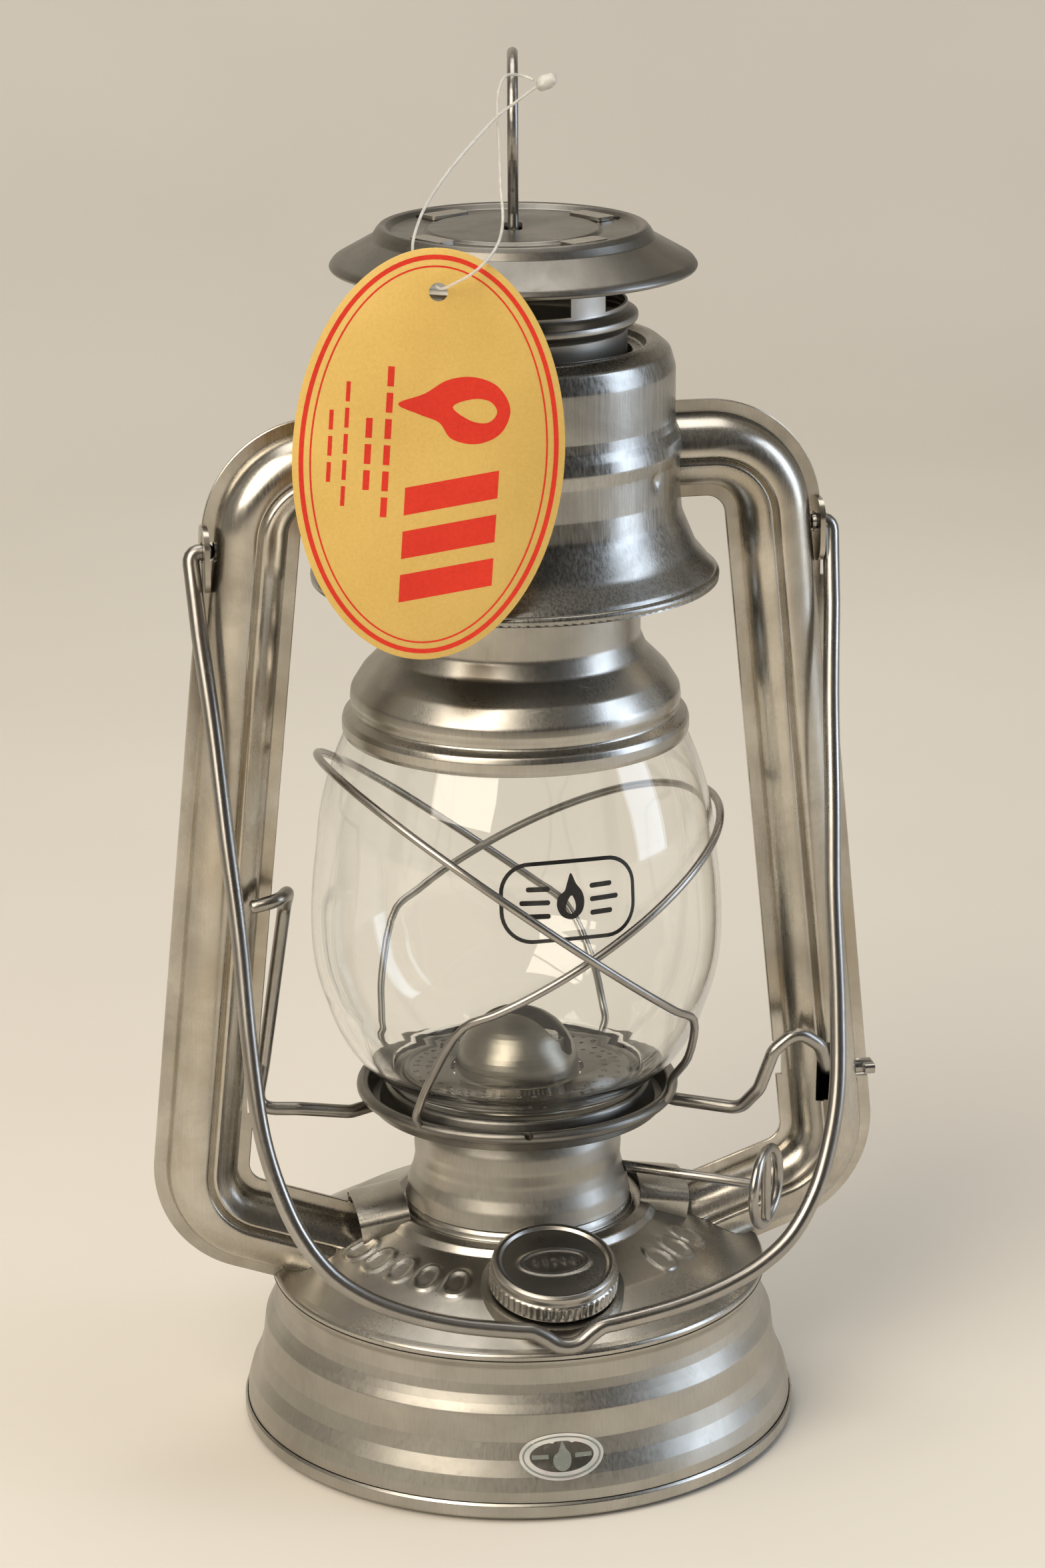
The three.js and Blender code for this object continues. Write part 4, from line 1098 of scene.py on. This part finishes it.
def add_chimney():
    line = [
        (31.0, 132.0), (31.3, 132.8), (31.3, 134.4), (31.0, 135.4), (29.4, 136.5), (29.5, 137.4),
        (29.8, 138.4, 2), (29.6, 140.2, 2), (27.6, 143.4, 3), (23.7, 147.3, 3), (22.5, 150.2, 3),
        (22.5, 160.0, 0.6), (20.4, 160.0),
    ]
    dressed(spun_sheet("globe_crown", line), TIN, ["globe_cap"])

    line = [
        (20, 152), (20, 205.6), (20.6, 206.2), (21.9, 207.0), (21.9, 208.2), (20.6, 209.0),
        (20, 209.6), (20, 221.0),
    ]
    tube = spun_sheet("chimney_pipe", line, spacing=2.0)
    sectors = []
    for i in range(4):
        middle = 90 * i + LEG_TURN
        edge = 45 - degrees(4 / 20)
        arc = [about_z(middle - edge + 2 * edge * k / 12, 25, 0).xy for k in range(13)]
        sectors.append(prism("window", [(0, 0), *arc], 210.2, 223))
    dressed(bored(tube, sectors), DULL_TIN, ["chimney_tube"])


def add_hood():
    line = [
        (31.2, 215.9), (32.0, 215.9), (32.3, 216.5), (31.6, 217.5, 2), (24.9, 221.3), (24.1, 222.6),
        (23.3, 223.5), (22.3, 223.3), (21.4, 222.3), (15.6, 222.2), (14.9, 222.9), (0, 223.1),
    ]
    plate = spun_sheet("hood_plate", line, radius=0.7)
    slot = prism("slot", rounded_rectangle(3.2, 8.6, 1.4), 219, 226, spin(RING_TURN))
    bored(plate, [slot])
    leaves, slits = [], []
    for i in range(4):
        turn = spin(90 * i + 45 + LEG_TURN)
        leaf, slit = rounded_rectangle(3.8, 8.2, 0.7, 4), rounded_rectangle(1.0, 9.0, 0.4, 3)
        leaves.append(prism("leaf", leaf, 222.35, 223.05, turn @ offset(18.4, 0, 0)))
        slits.append(prism("slit", slit, 219, 226, turn @ offset(20.9, 0, 0)))
    bored(plate, slits)
    dressed(plate, DARK_TIN, ["hood"])
    dressed(merged("chimney_leg_tabs", leaves), TIN, body=BODY_OF["hood"])

    radius, thickness = 12, 0.95
    middle = 254 - thickness - radius
    angles = [radians(a) for a in evenly(-58, 238, 48)]
    loop = [Vector((0, radius * cos(a), middle + radius * sin(a))) for a in angles]
    foot = [(0, 8, 219.6), (0, 3.2, 219.6), (0, 1.7, 221), (0, 2.0, 226)]
    route = [*foot, *loop, *[(0, -y, z) for _, y, z in reversed(foot)]]
    ring = placed(wire("hanging_ring", eased(route, 3.0, 6), thickness, 18), spin(RING_TURN))
    dressed(ring, WIRE_STEEL, ["lift_ring"])


# ---------------- bell, side tubes and air ducts
BELL_LINE = [
    (36.4, 160.4), (36.3, 160.9), (35.3, 162.7, 2), (32.4, 166.2, 6), (29.8, 172.4, 5),
    (29.4, 176.5, 4), (29.35, 182.2, 2), (29.75, 184.4, 2), (29.45, 186.3, 2), (28.7, 188.0, 2),
    (28.5, 189.8, 2), (28.5, 198.6, 3), (27.6, 201.6, 1.5), (25.6, 203.2, 1.5), (24.2, 203.5, 1),
    (23.2, 202.8, 0.6), (22.9, 201.2, 0.5), (20.9, 201.2),
]
TUBE_WIDTH, TUBE_SEAM, TUBE_BEND, TUBE_TOP = 17.6, 2.3, 12.4, 182
TUBE_CREASE, TUBE_SHEET = 9.7, 0.5
BAIL_PIVOT, LEVER_PIVOT = 167.5, 61.6


def tube_path(start, end, spacing):
    """The right tube's centreline in the lantern's plane, with the way out at each station."""
    corners = [Vector(p) for p in ((start, TUBE_TOP), (46.1, TUBE_TOP), (59.9, 43.2), end)]
    line = [corners[0]]
    for before, corner, after in zip(corners, corners[1:], corners[2:]):
        back, ahead = (before - corner).normalized(), (after - corner).normalized()
        half = back.angle(ahead) / 2
        centre = corner + (back + ahead).normalized() * TUBE_BEND / sin(half)
        spoke = corner + back * TUBE_BEND / tan(half) - centre
        sweep = pi - 2 * half
        for i in range(25):
            line.append(centre + Matrix.Rotation(-sweep * i / 24, 2) @ spoke)
    line = dense([*line, corners[3]], spacing)
    stations = []
    for i, spot in enumerate(line):
        along = (line[min(i + 1, len(line) - 1)] - line[max(i - 1, 0)]).normalized()
        stations.append((spot, Vector((-along.y, along.x))))
    return stations


def tube_half(inward):
    """Half the tube's thickness, front to back, at a distance in from its outer edge."""
    share = (inward - TUBE_SEAM) / (TUBE_WIDTH - 2 * TUBE_SEAM)
    seam = 0.45
    if not 0 < share < 1:
        return seam
    crown = 6.7 - 0.7 * step(share, 0.45, 0.68)
    rounding = sqrt(1 - abs(2 * share - 1) ** 2.6)
    groove = 0.75 * bump_at(inward, TUBE_CREASE, 0.42) - 0.28 * bump_at(inward, 10.75, 0.4)
    return seam + (crown - seam) * rounding - groove


OUTER_PLACES = (
    0, 0.15, 2.1, 2.3, 2.36, 2.5, 2.8, 3.3, 4.0, 5.0, 6.2, 7.4, 8.4, 8.9, 9.2, 9.45, 9.7, 9.95,
    10.2, 10.45, 10.75, 11.1, 11.6, 12.4, 13.2, 14.0, 14.6, 15.0, 15.18, 15.3, 15.5, 17.45, 17.6,
)
INNER_PLACES = (2.9, 3.2, 3.8, 5.0, 7.0, 9.0, 9.7, 10.4, 12.0, 13.4, 14.3, 14.7)


def tube_ring(spot, out, side, places, thinner):
    def at_place(inward, sign):
        edge = inward in (0, TUBE_WIDTH)
        half = max(tube_half(inward) - thinner, 0.15) * (0.7 if edge else 1)
        flat = spot + out * (TUBE_WIDTH / 2 - inward)
        return Vector((side * flat.x, sign * half, flat.y))
    return [at_place(p, 1) for p in places] + [at_place(p, -1) for p in reversed(places)]


def tube_body(name, side, start, end, places, thinner=0.0, spacing=1.5):
    rings = [tube_ring(s, o, side, places, thinner) for s, o in tube_path(start, end, spacing)]
    return lofted(name, rings)


def sided(side, low, high):
    return (side * low, side * high) if side > 0 else (side * high, side * low)


def add_side_tube(name, side):
    tube = tube_body(f"air_tube_{name}", side, 26, (29, 32.2), OUTER_PLACES)
    bore = tube_body("bore", side, 20, (24, 30.4), INNER_PLACES, TUBE_SHEET, 3.0)
    cut(tube, bore)
    cut(tube, spun_block("bell_block", [(29.4, 158), *BELL_LINE[5:]], CLEARANCE))
    cut(tube, dome_block())
    cut(tube, block(sided(side, 56.2, 63), (-6, 6), (157.5, 176.5)))
    cut(tube, block(sided(side, 46, 50.4), (-3, 3), (61.3, 68)))
    if side > 0:  # room for the lever's arch and its end catch
        cut(tube, block((55.6, 59.4), (-9, 0), (57.6, 69.4), 0.9))
        cut(tube, block((57.5, 70), (-3.4, 1.8), (59.8, 63.4)))
    upright = Matrix(((0, 0, side, 0), (1, 0, 0, 0), (0, 1, 0, BAIL_PIVOT), (0, 0, 0, 1)))
    plate = [p - Vector((0, 1.2)) for p in rounded_rectangle(9.2, 11.6, 3.4, 8)]
    ear = prism("ear", plate, 55.05, 56.0, upright)
    weld(tube, ear)
    cut(tube, rod(1.9, 53.2, 59.2, upright, 24))
    dressed(tube, TUBE_TIN, [f"side_tube_{name}"], crisp=32)


DINGS = ((46, 181, 1.1, 0.6), (-36, 173, 4, 0.3), (150, 180, 3, 0.35))  # azimuth, z, size, depth


def dented(spot):
    """A few shallow dings in the bell's wall."""
    radius = hypot(spot.x, spot.y)
    if radius < 24:
        return spot
    azimuth = azimuth_of(spot)
    depth = 0.0
    for place, height, size, amount in DINGS:
        across = radians(azimuth - place) * radius
        depth += amount * exp(-((across**2 + (spot.z - height) ** 2) / size**2))
    return Vector((spot.x * (1 - depth / radius), spot.y * (1 - depth / radius), spot.z))


def add_bell():
    bell = spun_sheet("draft_bell", BELL_LINE, steps=288, spacing=0.9, reshape=dented)
    weld(bell, revolved("rim", ring_outline(35.65, 161.25, 0.85), 144))
    for side in (-1, 1):
        spots = [Vector((x, TUBE_TOP)) for x in (23, 36)]
        rings = [tube_ring(s, Vector((0, 1)), side, INNER_PLACES, TUBE_SHEET) for s in spots]
        cut(bell, lofted("port", rings))
    dressed(bell, BELL_TIN, ["bell"], crisp=50)


def add_spring():
    """The draft spring, one coil in two lengths.

    The lower length stands on the crown and rides with the chimney tube. The upper hangs in the
    bell and rides with the spring's own body. Both are rigid and keep their length at every pose.
    """
    low, split, high, turns = 160.8, 182.0, 200.0, 5

    def coil(start, end):
        spots = evenly(start, end, 96)
        return [about_z(360 * turns * (z - low) / (high - low), 22.3, z) for z in spots]

    upper = wire("draft_spring_upper", coil(split, high), 0.5, 10)
    dressed(upper, WIRE_STEEL, ["chimney_spring"])
    lower = wire("draft_spring_lower", coil(low, split), 0.5, 10)
    dressed(lower, WIRE_STEEL, body=BODY_OF["chimney_tube"])
    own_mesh(upper)
    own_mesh(lower)


def duct_arch(half_width, height):
    """A tunnel's cross section: straight feet, then a low round arch."""
    arch = []
    for t in evenly(0, 1, 24):
        left = (1 - t) ** 3 + 3 * t * (1 - t) ** 2
        right = 3 * t**2 * (1 - t) + t**3
        arch.append((-half_width * left + half_width * right, height * 3 * t * (1 - t)))
    return [(-half_width, -12), *arch, (half_width, -12)]


def add_duct(name, side):
    turn = Matrix.Rotation(0 if side > 0 else pi, 4, "Z")
    tilt = turn @ offset(21.6, 0, 41.4) @ spin(9, "Y")
    along = tilt @ Matrix(((0, 0, 1, 0), (1, 0, 0, 0), (0, 1, 0, 0), (0, 0, 0, 1)))
    roof = prism(f"air_tunnel_{name}", duct_arch(8.0, 4.6), 0, 9.4, along)
    cut(roof, prism("bore", duct_arch(8.0 - SHEET, 4.6 - SHEET), -2, 15, along))
    cut(roof, dome_block())
    dressed(roof, TIN, [f"air_duct_{name}"])


# ---------------- bail and lever
def add_bail():
    half = [
        (57.3, 15), (56, 31), (54.9, 51), (53.8, 68), (53.2, 88), (52, 103), (49.6, 113),
        (46.4, 121), (41.6, 128), (36, 132.4), (29, 135.8), (20, 138.6), (9, 140.6),
        (6.4, 141.0), (4.2, 142.2), (2.0, 143.7),
    ]
    right = [(x, 0, -down) for x, down in half]
    hoop = flowing([*[(-x, 0, z) for x, _, z in right], (0, 0, -144.1), *reversed(right)], 6)
    hook = eased([(53.9, 0, 0), (58.1, 0, 0), (57.4, 0, -13)], 3)
    route = [*[(-x, 0, z) for x, _, z in hook], *hoop, *reversed(hook)]
    hang = offset(0, 0, BAIL_PIVOT) @ spin(-19, "X")
    bail = placed(wire("bail_wire", route, 1.5, 20), hang)
    dressed(bail, WIRE_STEEL, ["bail_handle"])


def add_lever():
    hoop = [about_z(angle, 22.9, 58.6) for angle in evenly(156, 24, 16)]
    route = [
        (-50, -7.6, 103.6), (-44.6, -7.2, 104.6), (-42.3, -2, 104.4), (-42.4, 2.4, 100),
        (-46.9, 2.4, 70), (-48.8, 0.6, 62), (-41, 0, LEVER_PIVOT), (-31, 2, 59.4), *hoop,
        (30, 0, 57.8), (41, -6, 57.4), (44, -8.4, 62), (46.6, -8.7, 69.4), (51, -8.8, 73),
        (55.6, -8.4, 69.6), (57.6, -5.4, 64), (60.5, -1, LEVER_PIVOT), (63, 0, LEVER_PIVOT),
        (68.1, 0, LEVER_PIVOT),
    ]
    lever = wire("lift_lever_wire", eased(route, 4, 8), 1.25, 18)
    stop = Matrix(((0, 0, 1, 66.1), (1, 0, 0, 0), (0, 1, 0, LEVER_PIVOT), (0, 0, 0, 1)))
    weld(lever, prism("stop", rounded_rectangle(4.6, 1.9, 0.7), 0, 1.9, stop))
    dressed(lever, WIRE_STEEL, ["lift_lever"])


add_tank()
add_filler_cap()
add_sticker()
add_burner()
add_globe()
add_guards()
add_globe_mark()
add_chimney()
add_hood()
add_bell()
add_spring()
for tube_name, tube_side in (("left", -1), ("right", 1)):
    add_side_tube(tube_name, tube_side)
    add_duct(tube_name, tube_side)
add_bail()
add_lever()


# ---------------- studio
def add_backdrop():
    """A pale sheet that runs from the floor up into a wall in one curve."""
    reach, start, bend, sunk = 3.0, 0.75, 0.55, 0.0006  # metres
    line = [Vector((-reach, -sunk)), Vector((start, -sunk))]
    for i in range(1, 25):
        angle = pi / 2 * i / 24
        line.append(Vector((start + bend * sin(angle), bend - bend * cos(angle) - sunk)))
    line.append(Vector((start + bend, reach)))
    vertices = [(x, p.x, p.y) for p in line for x in (-reach, reach)]
    faces = [(2 * i, 2 * i + 1, 2 * i + 3, 2 * i + 2) for i in range(len(line) - 1)]
    mesh = bpy.data.meshes.new("backdrop")
    mesh.from_pydata(vertices, [], faces)
    mesh.shade_smooth()
    sweep = bpy.data.objects.new("backdrop", mesh)
    bpy.context.scene.collection.objects.link(sweep)
    finish = Finish("backdrop_paper", Roughness=0.75, Specular_IOR_Level=0.3)
    cloud = finish.noise(2.2, 3)
    fibre = finish.noise(700, 3)
    share = finish.spread(cloud, 0.35, 0.65)
    colour = finish.blend(share, (0.70, 0.66, 0.595), (0.76, 0.725, 0.66))
    mesh.materials.append(finish.done(Base_Color=colour, Normal=finish.bumps(fibre, 0.05, 0.0002)))


add_backdrop()
add_world()
add_light("Key", (-0.75, -0.75, 0.95), (0, 0, 0.12), (0.95, 1.15), 19, (1.0, 0.90, 0.76))
add_light("Cool_fill", (1.15, -0.35, 0.45), (0, 0, 0.12), (0.5, 1.1), 7, (0.70, 0.82, 1.0))
add_light("Top", (0.0, 0.25, 1.5), (0, 0.1, 0.1), (1.2, 1.0), 9, (1.0, 0.96, 0.9))
bpy.context.scene.view_settings.view_transform = "Standard"
